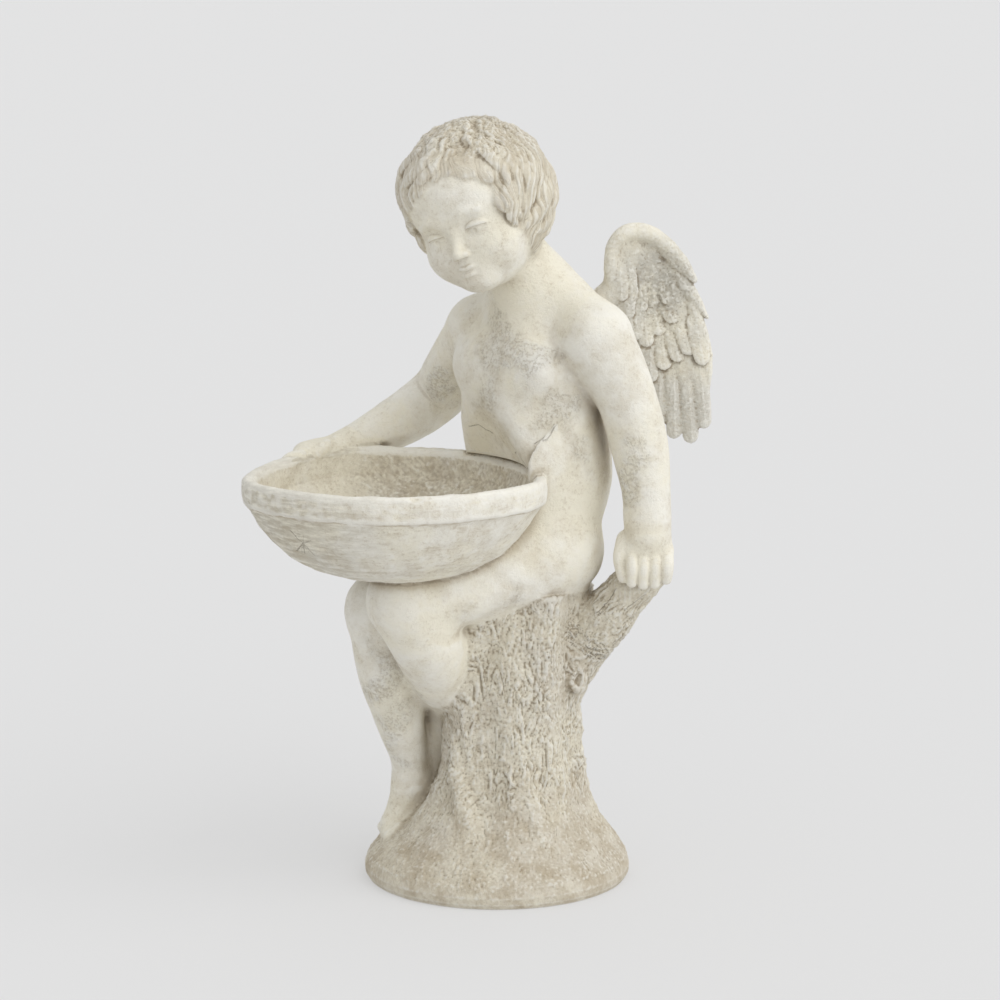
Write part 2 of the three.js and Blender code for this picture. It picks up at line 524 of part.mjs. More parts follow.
// Thins a closed mesh by joining the ends of edges whose loss moves the surface least (quadric errors).
function thin(points, faces, target, weight) {
  const count = points.length / 3;
  const q = new Float64Array(count * 10);
  const around = [];
  for (let i = 0; i < count; i++) around.push([]);
  const alive = new Uint8Array(faces.length / 3).fill(1);
  const stamp = new Int32Array(count);
  // Writes the normal of a face into `out` and gives twice its area.
  const normal = (a, b, c, out) => {
    const [x1, y1, z1] = [b[0] - a[0], b[1] - a[1], b[2] - a[2]];
    const [x2, y2, z2] = [c[0] - a[0], c[1] - a[1], c[2] - a[2]];
    out[0] = y1 * z2 - z1 * y2;
    out[1] = z1 * x2 - x1 * z2;
    out[2] = x1 * y2 - y1 * x2;
    return Math.hypot(out[0], out[1], out[2]);
  };
  const point = (i) => [points[3 * i], points[3 * i + 1], points[3 * i + 2]];
  const n = [0, 0, 0];
  const m = [0, 0, 0];
  for (let f = 0; f < faces.length; f += 3) {
    const ids = [faces[f], faces[f + 1], faces[f + 2]];
    const a = point(ids[0]);
    const area = normal(a, point(ids[1]), point(ids[2]), n) || 1e-12;
    const [x, y, z] = [n[0] / area, n[1] / area, n[2] / area];
    const d = -(x * a[0] + y * a[1] + z * a[2]);
    const w = area * weight(a[0], a[1], a[2]);
    const terms = [x * x, x * y, x * z, x * d, y * y, y * z, y * d, z * z, z * d, d * d];
    for (const id of ids) {
      around[id].push(f / 3);
      for (let k = 0; k < 10; k++) q[id * 10 + k] += w * terms[k];
    }
  }
  const sum = new Float64Array(10);
  const best = [0, 0, 0];
  const error = (x, y, z) => sum[0] * x * x + sum[4] * y * y + sum[7] * z * z + sum[9] +
    2 * (sum[1] * x * y + sum[2] * x * z + sum[3] * x + sum[5] * y * z + sum[6] * y + sum[8] * z);
  // Where the two ends of an edge are best joined, and what that costs.
  function join(a, b) {
    for (let k = 0; k < 10; k++) sum[k] = q[a * 10 + k] + q[b * 10 + k];
    const [A, B, C, D, E, F, G, H, I] = sum;
    const det = A * (E * H - F * F) - B * (B * H - F * C) + C * (B * F - E * C);
    const p = point(a);
    const r = point(b);
    const far2 = (c, e) => (c[0] - e[0]) ** 2 + (c[1] - e[1]) ** 2 + (c[2] - e[2]) ** 2;
    const edge2 = far2(p, r);
    for (let k = 0; k < 3; k++) best[k] = (p[k] + r[k]) / 2;
    const scale = (A + E + H) / 3;
    if (Math.abs(det) > 1e-3 * scale ** 3) {
      const x = -(D * (E * H - F * F) - B * (G * H - F * I) + C * (G * F - E * I)) / det;
      const y = -(A * (G * H - I * F) - D * (B * H - F * C) + C * (B * I - G * C)) / det;
      const z = -(A * (E * I - F * G) - B * (B * I - G * C) + D * (B * F - E * C)) / det;
      if (far2([x, y, z], best) < edge2) [best[0], best[1], best[2]] = [x, y, z];
    }
    return Math.max(0, error(...best)) + 1e-4 * scale * edge2;
  }
  const heap = [];
  const less = (i, j) => heap[i].cost < heap[j].cost;
  const swap = (i, j) => ([heap[i], heap[j]] = [heap[j], heap[i]]);
  const push = (item) => {
    heap.push(item);
    for (let i = heap.length - 1; i > 0 && less(i, (i - 1) >> 1); i = (i - 1) >> 1) swap(i, (i - 1) >> 1);
  };
  const pop = () => {
    const top = heap[0];
    const last = heap.pop();
    if (heap.length) heap[0] = last;
    for (let i = 0; ;) {
      let c = 2 * i + 1;
      if (c >= heap.length) return top;
      if (c + 1 < heap.length && less(c + 1, c)) c++;
      if (!less(c, i)) return top;
      swap(i, c);
      i = c;
    }
  };
  const offer = (a, b) => push({ cost: join(a, b), a, b, sa: stamp[a], sb: stamp[b] });
  const neighbours = (a) => {
    const set = new Set();
    for (const f of around[a]) for (let k = 0; k < 3; k++) set.add(faces[3 * f + k]);
    set.delete(a);
    return set;
  };
  for (let f = 0; f < faces.length; f += 3)
    for (let k = 0; k < 3; k++) {
      const [a, b] = [faces[f + k], faces[f + ((k + 1) % 3)]];
      if (a < b) offer(a, b);
    }
  const longest = (t) => Math.max(...t.map((p, k) => {
    const r = t[(k + 1) % 3];
    return (p[0] - r[0]) ** 2 + (p[1] - r[1]) ** 2 + (p[2] - r[2]) ** 2;
  }));
  // Would any face kept round `a` turn over or become more of a sliver if `a` moved to `to`?
  const spoils = (a, b, to) => around[a].some((f) => {
    const ids = [faces[3 * f], faces[3 * f + 1], faces[3 * f + 2]];
    if (ids.includes(b)) return false;
    const before = ids.map(point);
    const after = ids.map((id, k) => (id === a ? to : before[k]));
    const la = normal(...before, n);
    const lb = normal(...after, m);
    const shapeBefore = la / longest(before);
    const shapeAfter = lb / longest(after);
    if (shapeAfter < 0.12 && shapeAfter < shapeBefore) return true;
    return shapeBefore > 0.05 && n[0] * m[0] + n[1] * m[1] + n[2] * m[2] < 0.3 * la * lb;
  });
  let left = faces.length / 3;
  while (left > target && heap.length) {
    const { a, b, sa, sb } = pop();
    if (stamp[a] !== sa || stamp[b] !== sb) continue;
    const na = neighbours(a);
    const shared = [...neighbours(b)].filter((id) => na.has(id));
    if (shared.length !== 2) continue;
    join(a, b);
    const pa = point(a);
    const pb = point(b);
    const half = pa.map((c, k) => (c + pb[k]) / 2);
    const to = [[...best], half, pa, pb].find((c) => !spoils(a, b, c) && !spoils(b, a, c));
    if (!to) continue;
    for (let k = 0; k < 10; k++) q[a * 10 + k] += q[b * 10 + k];
    for (let k = 0; k < 3; k++) points[3 * a + k] = to[k];
    for (const f of around[b]) {
      const ids = [faces[3 * f], faces[3 * f + 1], faces[3 * f + 2]];
      if (ids.includes(a)) {
        alive[f] = 0;
        left--;
        for (const id of ids) if (id !== b) around[id] = around[id].filter((g) => g !== f);
      } else {
        faces[3 * f + ids.indexOf(b)] = a;
        around[a].push(f);
      }
    }
    around[b] = [];
    stamp[b] = -1;
    stamp[a]++;
    for (const id of neighbours(a)) offer(a, id);
  }
  return faces.filter((_, i) => alive[Math.floor(i / 3)]);
}

// ---------------------------------------------------------------- joining and cutting
const wasm = await Module();
wasm.setup();

function manifold(vertices, index) {
  const [vertProperties, triVerts] = [new Float32Array(vertices), new Uint32Array(index)];
  return new wasm.Manifold(new wasm.Mesh({ numProp: 3, vertProperties, triVerts }));
}

function solid(geometry) {
  const bare = geometry.clone();
  bare.deleteAttribute("normal");
  bare.deleteAttribute("uv");
  const merged = mergeVertices(bare, 1e-4);
  return manifold(merged.attributes.position.array, merged.index.array);
}

function figure() {
  const { points, faces } = polygonise();
  // How closely each place is kept: most on the head, more on the wings, least on the stump.
  const care = (x, y, z) => {
    if (z > 575 && x < 75) return 5;
    if (z > 400 && x > 105 && y > -20) return 2;
    return z < 300 && x > -60 ? 0.5 : 1;
  };
  const kept = thin(points, faces, TRIANGLES, care);
  const used = new Map();
  const vertices = [];
  const index = kept.map((id) => {
    if (!used.has(id)) {
      used.set(id, vertices.length / 3);
      vertices.push(points[3 * id], points[3 * id + 1], points[3 * id + 2]);
    }
    return used.get(id);
  });
  return manifold(vertices, index);
}

// The basin: a lathed shell whose plan spreads and whose rim lifts a little with the angle.
function basin() {
  const profile = [...BASIN_OUT, ...BASIN_IN].map(([r, z]) => new THREE.Vector2(r, z));
  const lathe = new THREE.LatheGeometry(profile, 56);
  const p = lathe.attributes.position;
  for (let i = 0; i < p.count; i++) {
    const [x, up, z] = [p.getX(i), p.getY(i), p.getZ(i)];
    const angle = Math.atan2(-z, x) / DEG;
    const r = Math.hypot(x, z);
    const grow = 1 + (basinSpread(angle) - 1) * clamp(r / 120, 0, 1);
    const lift = basinLift(angle) * clamp((up + 60) / 60, 0, 1);
    p.setXYZ(i, BOWL.x + x * grow, BOWL.y - z * grow, BOWL.rim + up + lift);
  }
  return solid(lathe);
}

const ground = new THREE.BoxGeometry(600, 600, 100).translate(0, 0, -50);
// Where the basin's wall meets the lap it can close off small bubbles: only the outer skin is kept.
const skins = figure().add(basin()).subtract(solid(ground)).decompose();
const cast = skins.sort((a, b) => b.volume() - a.volume())[0].getMesh();
const geometry = new THREE.BufferGeometry();
geometry.setAttribute("position", new THREE.BufferAttribute(cast.vertProperties, 3));
geometry.setIndex(new THREE.BufferAttribute(cast.triVerts, 1));
geometry.computeVertexNormals();

const statue = new THREE.Mesh(
  geometry, new THREE.MeshStandardMaterial({ color: 0xd6d0bf, roughness: 0.95, metalness: 0 }));
statue.name = "cherub_statue";
const group = new THREE.Group();
group.name = "cherub_garden_statue";
group.add(statue);
export default group;
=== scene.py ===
"""Cherub garden statue in aged cast stone: a winged child seated on a tree stump, a wide basin on its lap.

The whole statue is one casting, so its skin is carved as one field of signed distances: rounded links, flat
locks and ellipsoids joined with soft fillets. It is meshed, made finer where the carving is fine, given the
casting's own relief (bark, pits, creases) and then parted into pieces that share their border points.
All carving sizes are millimetres in the part's own frame and are scaled to the solid's height.
"""

import math

import bpy
import numpy as np
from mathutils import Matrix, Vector


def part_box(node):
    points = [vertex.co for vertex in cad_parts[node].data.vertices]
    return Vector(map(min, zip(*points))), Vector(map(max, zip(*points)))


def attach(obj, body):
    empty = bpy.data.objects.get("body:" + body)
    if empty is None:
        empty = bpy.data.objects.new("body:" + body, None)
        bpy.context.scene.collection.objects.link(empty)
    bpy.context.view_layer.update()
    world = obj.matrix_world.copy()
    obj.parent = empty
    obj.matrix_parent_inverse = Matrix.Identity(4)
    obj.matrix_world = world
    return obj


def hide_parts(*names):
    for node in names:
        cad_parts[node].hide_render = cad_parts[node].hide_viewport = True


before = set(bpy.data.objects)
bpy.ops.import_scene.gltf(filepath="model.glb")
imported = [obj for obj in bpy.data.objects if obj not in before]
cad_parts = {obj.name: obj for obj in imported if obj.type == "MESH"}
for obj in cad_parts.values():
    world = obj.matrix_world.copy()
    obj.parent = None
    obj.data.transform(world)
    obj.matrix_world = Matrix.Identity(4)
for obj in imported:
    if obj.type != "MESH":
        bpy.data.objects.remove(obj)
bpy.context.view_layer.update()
STATUE_LOW, STATUE_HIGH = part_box("cherub_statue")
STATUE_HEIGHT = 773.5  # carving height, millimetres
MM = (STATUE_HIGH.z - STATUE_LOW.z) / STATUE_HEIGHT  # metres to one carving millimetre

SKIN_CELL = 2.7  # edge of the meshing grid on the smooth skin
SPACE = ((-262, -232, -7), (232, 212, 785))  # the box that is meshed
FAR = 1e3
REACH = 6.0  # how far past a form's fillet its distance is still worked out
LIMB_STEPS = 16  # straight links between two joints of a limb


# ---------------- vectors
def vec(*numbers):
    return np.array(numbers, float)


def unit(a):
    return a / np.linalg.norm(a)


def mix(a, b, t):
    return a + (b - a) * t


def clamp(t, low=0.0, high=1.0):
    return np.minimum(np.maximum(t, low), high)


def step_up(t, low, high):
    """0 below low, 1 above high, smooth between."""
    s = clamp((t - low) / (high - low))
    return s * s * (3 - 2 * s)


def hump(t, middle, width):
    """1 at the middle, falling off as a bell of that width."""
    return np.exp(-(((t - middle) / width) ** 2))


def facing(degrees):
    """Level direction turned from the display front (-Y) towards -X."""
    a = math.radians(degrees)
    return vec(-math.sin(a), -math.cos(a), 0)


def turned(direction, axis, degrees):
    a = math.radians(degrees)
    return (
        direction * math.cos(a)
        + np.cross(axis, direction) * math.sin(a)
        + axis * np.dot(axis, direction) * (1 - math.cos(a))
    )


class Bearing:
    """Left, front and up of a body part that faces some way, pitched down and rolled to its left."""

    def __init__(self, degrees, pitch=0, roll=0):
        level = facing(degrees)
        side = vec(-level[1], level[0], 0)
        self.front = level * math.cos(math.radians(pitch)) - vec(0, 0, math.sin(math.radians(pitch)))
        up = np.cross(self.front, side)
        self.left = turned(side, self.front, -roll)
        self.up = turned(up, self.front, -roll)

    def at(self, centre, left, front, up):
        return centre + self.left * left + self.front * front + self.up * up


# ---------------- forms
class Form:
    """A closed form: the box that holds it and its signed distance at points x, y, z."""

    def __init__(self, low, high, distance):
        self.low, self.high, self.distance = np.asarray(low, float), np.asarray(high, float), distance


def along(direction, x, y, z):
    return x * direction[0] + y * direction[1] + z * direction[2]


def length3(a, b, c):
    return np.sqrt(a * a + b * b + c * c)


def ellipsoid(centre, radii, bearing):
    """Ellipsoid with its radii to the left, front and top of the bearing."""
    left, front, up = radii
    reach = max(radii)

    def distance(x, y, z):
        dx, dy, dz = x - centre[0], y - centre[1], z - centre[2]
        a = along(bearing.left, dx, dy, dz) / left
        b = along(bearing.front, dx, dy, dz) / front
        c = along(bearing.up, dx, dy, dz) / up
        outer = length3(a, b, c)
        inner = length3(a / left, b / front, c / up)
        return outer * (outer - 1) / np.maximum(inner, 1e-6)

    return Form(centre - reach, centre + reach, distance)


def link(a, b, start, end):
    """Tapered round link from a to b."""
    d = b - a
    long2 = max(float(d @ d), 1e-9)
    reach = max(start, end)

    def distance(x, y, z):
        px, py, pz = x - a[0], y - a[1], z - a[2]
        t = clamp(along(d, px, py, pz) / long2)
        return length3(px - d[0] * t, py - d[1] * t, pz - d[2] * t) - (start + (end - start) * t)

    return Form(np.minimum(a, b) - reach, np.maximum(a, b) + reach, distance)


def strap(a, b, normal, start, end, relief=None, run=0.0):
    """Tapered flat link, (half width, half thickness) at both ends; relief(run, side) stands proud of it."""
    d = b - a
    long = max(float(np.linalg.norm(d)), 1e-6)
    way = d / long
    out = unit(normal - way * (normal @ way))
    across = np.cross(way, out)
    reach = max(start[0], end[0], start[1], end[1])

    def distance(x, y, z):
        px, py, pz = x - a[0], y - a[1], z - a[2]
        s = along(way, px, py, pz)
        t = clamp(s / long)
        wide = start[0] + (end[0] - start[0]) * t
        thick = start[1] + (end[1] - start[1]) * t
        past = s - t * long
        side = along(across, px, py, pz)
        rise = along(out, px, py, pz)
        outer = length3(past / wide, side / wide, rise / thick)
        inner = length3(past / wide**2, side / wide**2, rise / thick**2)
        e = outer * (outer - 1) / np.maximum(inner, 1e-6)
        return e if relief is None else e - relief(run + s, side / wide)

    return Form(np.minimum(a, b) - reach, np.maximum(a, b) + reach, distance)


def smooth_line(joints, steps):
    """Points and sizes of a smooth line through joints, each (x, y, z, sizes) or (point, sizes)."""
    rows = [np.hstack(joint).astype(float) for joint in joints]
    rows = [rows[0], *rows, rows[-1]]
    line = []
    for i in range(len(joints) - 1):
        p, q, r, s = rows[i : i + 4]
        for j in range(steps + (i + 2 == len(joints))):
            t = j / steps
            n = q + 0.5 * t * (r - p + t * (2 * p - 5 * q + 4 * r - s + t * (3 * (q - r) + s - p)))
            line.append((n[:3], n[3:]))
    return line


class Carving:
    """The statue's forms in the order in which they are joined or cut."""

    def __init__(self):
        self.groups = []
        self.part = 0

    def add(self, forms, fillet, cut=False):
        forms = forms if isinstance(forms, list) else [forms]
        low = np.min([f.low for f in forms], axis=0)
        high = np.max([f.high for f in forms], axis=0)
        self.groups.append((forms, fillet, cut, low, high, self.part))

    def cut(self, forms, fillet):
        self.add(forms, fillet, cut=True)

    def limb(self, joints, fillet, cut=False):
        """A limb of round section through joints (point, radius)."""
        line = smooth_line(joints, LIMB_STEPS)
        parts = [link(a[0], b[0], a[1][0], b[1][0]) for a, b in zip(line, line[1:])]
        self.add(parts, fillet, cut)

    def lock(self, joints, out, fillet, relief=None, steps=4):
        """A flat lock through joints (point, (half width, half thickness)), which faces out(point)."""
        line = smooth_line(joints, steps)
        run, parts = 0.0, []
        for a, b in zip(line, line[1:]):
            parts.append(strap(a[0], b[0], out(a[0]), a[1], b[1], relief, run))
            run += float(np.linalg.norm(b[0] - a[0]))
        self.add(parts, fillet)

    def measure(self, places, shape):
        """Signed distance at every place once all forms are joined, and the part that lies nearest to it."""
        d = np.full(shape, FAR, np.float32)
        own = np.full(shape, FAR, np.float32)
        parts = np.zeros(shape, np.uint8)
        for forms, fillet, cut, low, high, part in self.groups:
            margin = fillet + REACH
            whole = places(low - margin, high + margin)
            if whole is None:
                continue
            where, x, y, z = whole
            if len(forms) == 1:
                e = forms[0].distance(x, y, z)
            else:
                for form in forms:
                    spot = places(form.low - margin, form.high + margin)
                    if spot is not None:
                        here, px, py, pz = spot
                        own[here] = np.minimum(own[here], form.distance(px, py, pz))
                e = own[where]
                if isinstance(where, tuple):  # slices give a view
                    e = e.copy()
                own[where] = FAR
            before = d[where]
            if cut:
                d[where] = -smooth_min(-before, e, fillet)
            else:
                parts[where] = np.where(e < before, part, parts[where])
                d[where] = smooth_min(before, e, fillet)
        return d, parts


def smooth_min(a, b, k):
    h = np.maximum(k - np.abs(a - b), 0) / k
    return np.minimum(a, b) - h * h * (k * 0.25)


class Grid:
    """Evenly spaced points of a box."""

    def __init__(self, low, high, cell):
        self.low, self.cell = np.asarray(low, float), cell
        self.axes = [np.arange(lo, hi + cell, cell, dtype=np.float32) for lo, hi in zip(low, high)]
        self.shape = tuple(len(a) for a in self.axes)

    def places(self, low, high):
        spans = []
        for axis, lo, hi in zip(self.axes, low, high):
            i, j = np.searchsorted(axis, (lo, hi))
            if i >= j:
                return None
            spans.append(slice(i, j))
        x, y, z = (axis[span] for axis, span in zip(self.axes, spans))
        return tuple(spans), x[:, None, None], y[None, :, None], z[None, None, :]


class Cloud:
    """Loose points, sorted into blocks so that the points near a form are found fast."""

    BLOCK = 16.0  # millimetres

    def __init__(self, points):
        cells = np.floor(points / self.BLOCK).astype(np.int64)
        self.first = cells.min(axis=0)
        cells -= self.first
        self.counts = cells.max(axis=0) + 1
        key = (cells[:, 0] * self.counts[1] + cells[:, 1]) * self.counts[2] + cells[:, 2]
        self.order = np.argsort(key, kind="stable")
        self.keys, self.starts = np.unique(key[self.order], return_index=True)
        self.ends = np.append(self.starts[1:], len(points))
        k = self.keys
        self.blocks = np.stack([k // (self.counts[1] * self.counts[2]), k // self.counts[2] % self.counts[1],
                                k % self.counts[2]], axis=1)
        self.x, self.y, self.z = np.ascontiguousarray(points[self.order].T, dtype=np.float32)

    def places(self, low, high):
        lo = np.floor(np.asarray(low) / self.BLOCK) - self.first
        hi = np.floor(np.asarray(high) / self.BLOCK) - self.first
        near = np.flatnonzero(np.all((self.blocks >= lo) & (self.blocks <= hi), axis=1))
        if not len(near):
            return None
        where = np.concatenate([np.arange(self.starts[i], self.ends[i]) for i in near])
        return where, self.x[where], self.y[where], self.z[where]

    def measure(self, carving):
        d, parts = carving.measure(self.places, (len(self.x),))
        back = np.empty_like(self.order)
        back[self.order] = np.arange(len(back))
        return d[back], parts[back]


statue = Carving()

# ---------------- body
PELVIS, PELVIS_WAY = vec(39, 12, 346), Bearing(66)
BELLY, BELLY_WAY = vec(38, 14, 420), Bearing(56)
CHEST, CHEST_WAY = vec(32, 14, 509), Bearing(45)
HEAD, HEAD_WAY = vec(-18, -28, 683), Bearing(27, 9, -20)


def carve_torso():
    statue.add(ellipsoid(PELVIS, (76, 55, 56), PELVIS_WAY), 20)
    statue.add(ellipsoid(vec(55, 6, 390), (48, 47, 44), BELLY_WAY), 20)  # left flank
    statue.add(ellipsoid(BELLY, (80, 76, 78), BELLY_WAY), 24)
    statue.add(ellipsoid(vec(35, 14, 461), (72, 62, 60), Bearing(50)), 24)  # waist
    statue.add(ellipsoid(CHEST, (74, 56, 80), CHEST_WAY), 24)
    for side in (1, -1):
        for middle, way, place, radii, fillet in (
            (PELVIS, PELVIS_WAY, (28, -16, -8), (37, 35, 37), 16),  # buttock
            (CHEST, CHEST_WAY, (34, 38, 12), (31, 17, 26), 18),  # breast
            (CHEST, CHEST_WAY, (40, -36, 30), (30, 22, 36), 18),  # shoulder blade
        ):
            statue.add(ellipsoid(way.at(middle, side * place[0], *place[1:]), radii, way), fillet)
    statue.limb([(41, 12, 596, 33), (69, -8, 584, 28), (98, -34, 559, 28)], 16)  # shoulders
    statue.limb([(36, 16, 591, 33), (10, 36, 575, 26), (-17, 56, 554, 27)], 16)
    statue.limb([(39, 12, 580, 43), (20, 2, 625, 34), (4, -8, 650, 34)], 20)  # neck


def carve_left_arm():
    statue.limb([(99, -36, 550, 36), (126, -41, 499, 29.5), (140.5, -42, 446, 28.5),
                 (147, -47, 405, 24), (148.5, -50, 378, 23.5), (149, -52, 362, 23)], 14)
    statue.add(ellipsoid(vec(148, -52, 343), (27, 17, 23), Bearing(0)), 6)
    for i, tip in enumerate((315, 313, 314, 318)):  # height of the finger tips
        x = 133.5 + 11.3 * i
        statue.limb([((x, -59, 343), 7.2), ((x, -67.5, 331), 6.6), ((x - 0.5, -66, tip), 5.6)], 2)
    statue.limb([(128, -49, 354, 10), (122, -57, 338, 7.4), (125, -61, 319, 6)], 3)


def carve_right_arm():
    statue.limb([(-19, 54, 551, 31), (-42, 92, 512, 28.5), (-62, 124, 473, 29.5),
                 (-108, 106, 444, 25.5), (-156, 76, 428, 15)], 14)
    statue.add(strap(vec(-156, 76, 430), vec(-190, 54, 427), vec(-0.3, -0.2, 1), (16, 11), (17, 9)), 6)
    for i in range(4):  # fingers, bent over the basin's rim
        root = vec(-180 - 6 * i, 64 - 10 * i, 427 - i)
        tip = vec(-198 - 6 * i, 60 - 14 * i, 411 - i)
        statue.limb([(root, 7), (mix(root, tip, 0.55) + vec(-3, 3, 5), 6.5), (tip, 5.5)], 2.5)
    statue.limb([(-166, 64, 431, 8), (-176, 50, 430, 7), (-182, 42, 424, 6)], 3)


def carve_legs():
    statue.limb([(56, -20, 337, 47), (0, -48, 322, 42), (-62, -72, 304, 39), (-88, -80, 299, 39)], 14)
    statue.limb([(-88, -80, 299, 39), (-68, -66, 252, 36), (-60, -38, 212, 26), (-54, 4, 180, 19),
                 (-58, 26, 146, 18)], 8)
    statue.limb([(-58, 26, 146, 18), (-70, 24, 104, 15), (-80, 14, 76, 10)], 8)
    statue.limb([(30, 36, 335, 46), (-112, -18, 277, 39)], 14)
    statue.limb([(-112, -18, 277, 38), (-106, -12, 214, 34.5), (-98, -4, 160, 24.5),
                 (-90, 6, 121, 19), (-88, 10, 92, 18)], 10)
    statue.limb([(-87, 10, 92, 19), (-98, 8, 62, 15.5), (-109, 4, 50, 10)], 8)
    for s in range(-2, 3):  # toes
        root = (-104 + 2 * s, 4 - 7 * s, 52 - 2 * abs(s))
        statue.limb([(root, 6.5), ((-113 + 2 * s, 3 - 7.5 * s, 42), 5.5)], 2.5)


# ---------------- head
def on_head(left, front, up):
    return HEAD_WAY.at(HEAD, left, front, up)


def lid(eye, radii, droop, side):
    """A shell over the eyeball, kept above (side 1) or below (side -1) a plane that droops forward."""
    shell = ellipsoid(eye, radii, HEAD_WAY)
    a = math.radians(droop)
    rim = (HEAD_WAY.up * math.cos(a) + HEAD_WAY.front * math.sin(a)) * side

    def distance(x, y, z):
        return np.maximum(shell.distance(x, y, z), -along(rim, x - eye[0], y - eye[1], z - eye[2]))

    return Form(shell.low, shell.high, distance)


def carve_face():
    def bead(left, front, up, radii, fillet, cut=False):
        statue.add(ellipsoid(on_head(left, front, up), radii, HEAD_WAY), fillet, cut)

    def cord(points, fillet, cut=False):
        statue.limb([(on_head(*place), radius) for *place, radius in points], fillet, cut)

    def bow(points, fillet, cut=False):
        """A cord across the face, given from its middle to its left end."""
        cord([(-left, *rest) for left, *rest in reversed(points) if left] + points, fillet, cut)

    bead(0, -6, 10, (63, 70, 64), 10)  # skull
    bead(0, 14, -24, (52, 50, 51), 16)
    bead(0, 40, 18, (46, 30, 32), 16)  # brow
    bead(0, 28, -48, (38, 34, 28), 14)  # jaw
    for side in (1, -1):
        bead(side * 25, 36, -34, (25, 25, 23), 12)  # cheek
    bead(0, 48, -61, (19, 16, 15), 10)  # chin
    bead(0, 49, -47, (21, 13, 13), 8)  # mouth
    for side in (1, -1):
        bead(side * 22, 71, -13, (14, 11, 8), 9, cut=True)  # eye socket
        eye = on_head(side * 22, 51.5, -14.5)
        statue.add(ellipsoid(eye, (11.6, 10.2, 10.4), HEAD_WAY), 1)
        statue.add(lid(eye, (14.2, 13.4, 13.0), -12, 1), 0.8)
        statue.add(lid(eye, (13.6, 12.8, 12.2), 36, -1), 0.8)
        statue.cut(ellipsoid(eye + HEAD_WAY.front * 10 - HEAD_WAY.up * 2.4, (2.8, 1.8, 2.8), HEAD_WAY), 0.8)
        cord([(side * 9, 63.5, -1, 1.8), (side * 20, 66.5, 4.4, 2.6), (side * 33, 60, 2, 1.6)], 7)  # eyebrow
        bead(side * 6.2, 65, -34.5, (3.9, 5.0, 3.8), 2)  # side of the nose
        bead(side * 3.4, 68.6, -38.8, (1.9, 3.2, 1.9), 1.2, cut=True)  # nostril
    cord([(0, 60, -8, 4.2), (0, 64, -20, 4.3), (0, 70, -32.5, 5.0)], 5)  # nose
    cord([(0, 66.8, -41, 1.2), (0, 67.4, -44.5, 1.5)], 2.5, cut=True)
    bow([(0, 65.4, -48.6, 2.5), (6, 64.4, -47.6, 2.6), (13, 59.6, -50.0, 1.4)], 1.2)  # upper lip
    bow([(4, 63.8, -55.2, 3.4), (10.5, 60.2, -53.0, 1.5)], 1.0)  # lower lip
    bow([(0, 68.0, -52.0, 0.8), (5, 67.2, -51.0, 0.7), (9.5, 65.2, -51.2, 0.4)], 0.8, cut=True)
    bow([(0, 67.6, -61.6, 1.8), (9, 65.8, -61.0, 1.2)], 5, cut=True)  # hollow over the chin


SKULL_LEAN = math.radians(-22)
SHORTEST_LOCK = 18  # degrees
CROWN = 722, 752  # heights between which the hair becomes the weathered crown
HAIR_ROWS = (  # degrees down at the root and the longest tip, locks round the head, half width
    (2, 36, 8, 10), (12, 52, 12, 10.5), (26, 68, 14, 10.5), (42, 84, 16, 10), (58, 100, 18, 9.5),
    (74, 116, 19, 9), (90, 130, 19, 8.6), (106, 142, 18, 8),
)
HAIRLINE = np.array([  # degrees round the head, degrees down from the crown
    (-180, 140), (-100, 136), (-75, 118), (-55, 97), (-27, 90), (-6, 82), (0, 78), (12, 76), (24, 81),
    (36, 84), (45, 88), (54, 96), (60, 112), (66, 122), (74, 132), (100, 141), (180, 140),
], float)
# Share of the half width and half thickness along a lock.
LOCK_SHAPE = ((0.6, 2.4), (0.9, 3.2), (1, 3.6), (0.9, 3.6), (0.62, 3.2), (0.16, 2))
BOLD_LOCKS = (  # locks round the face: degrees down, degrees round, lift
    ((60, 12, 9), (69, -2, 10), (75, -16, 10), (79, -32, 9.5), (84, -48, 8), (92, -58, 5)),
    ((66, 16, 7), (75, 4, 8), (81, -10, 8), (87, -24, 7), (93, -38, 4)),
    ((56, -20, 9), (62, -38, 11), (72, -52, 11), (84, -56, 9), (94, -48, 6), (97, -38, 4)),
    ((60, 34, 9), (70, 44, 10), (80, 52, 9.5), (90, 58, 9), (100, 58, 7), (108, 52, 3)),
    ((62, 46, 9), (76, 58, 10), (90, 66, 9.5), (104, 66, 8), (116, 60, 4)),
    ((72, 58, 9), (88, 74, 10), (104, 78, 9), (118, 74, 7), (129, 66, 3)),
    ((86, 80, 9), (102, 92, 9), (118, 94, 8), (132, 86, 4)),
)
FORELOCK = ((80, 25, 5), (86, 25, 3.6), (92, 28, 2.2), (98, 31, 1.2), (103, 30, 0.6), (106, 26, 0))
FORELOCK_WIDTHS = (3.4, 2.9, 2.3, 1.9, 1.6, 1.0)


def over_skull(down, around, lift):
    """Point over the skull, degrees down from the crown and degrees around from the face towards its left."""
    a, b = math.radians(down), math.radians(around)
    left, front, up = math.sin(a) * math.sin(b), math.sin(a) * math.cos(b), math.cos(a)
    front, up = (front * math.cos(SKULL_LEAN) + up * math.sin(SKULL_LEAN),
                 up * math.cos(SKULL_LEAN) - front * math.sin(SKULL_LEAN))
    return on_head(left * (64.5 + lift), -6 + front * (73 + lift), 8 + up * (68 + lift))


def hair_end(around):
    """How far down the hair reaches, in degrees from the crown."""
    return float(np.interp(around, *HAIRLINE.T))


def hair_sweep(around):
    """How far the hair is combed round on its way down: off the brow to both sides, forward over the ears."""
    past_ear = 14 * np.sign(around) * hump(np.abs(around), 116, 36)
    return -26 * hump(around, -6, 32) + 15 * hump(around, 56, 26) - past_ear


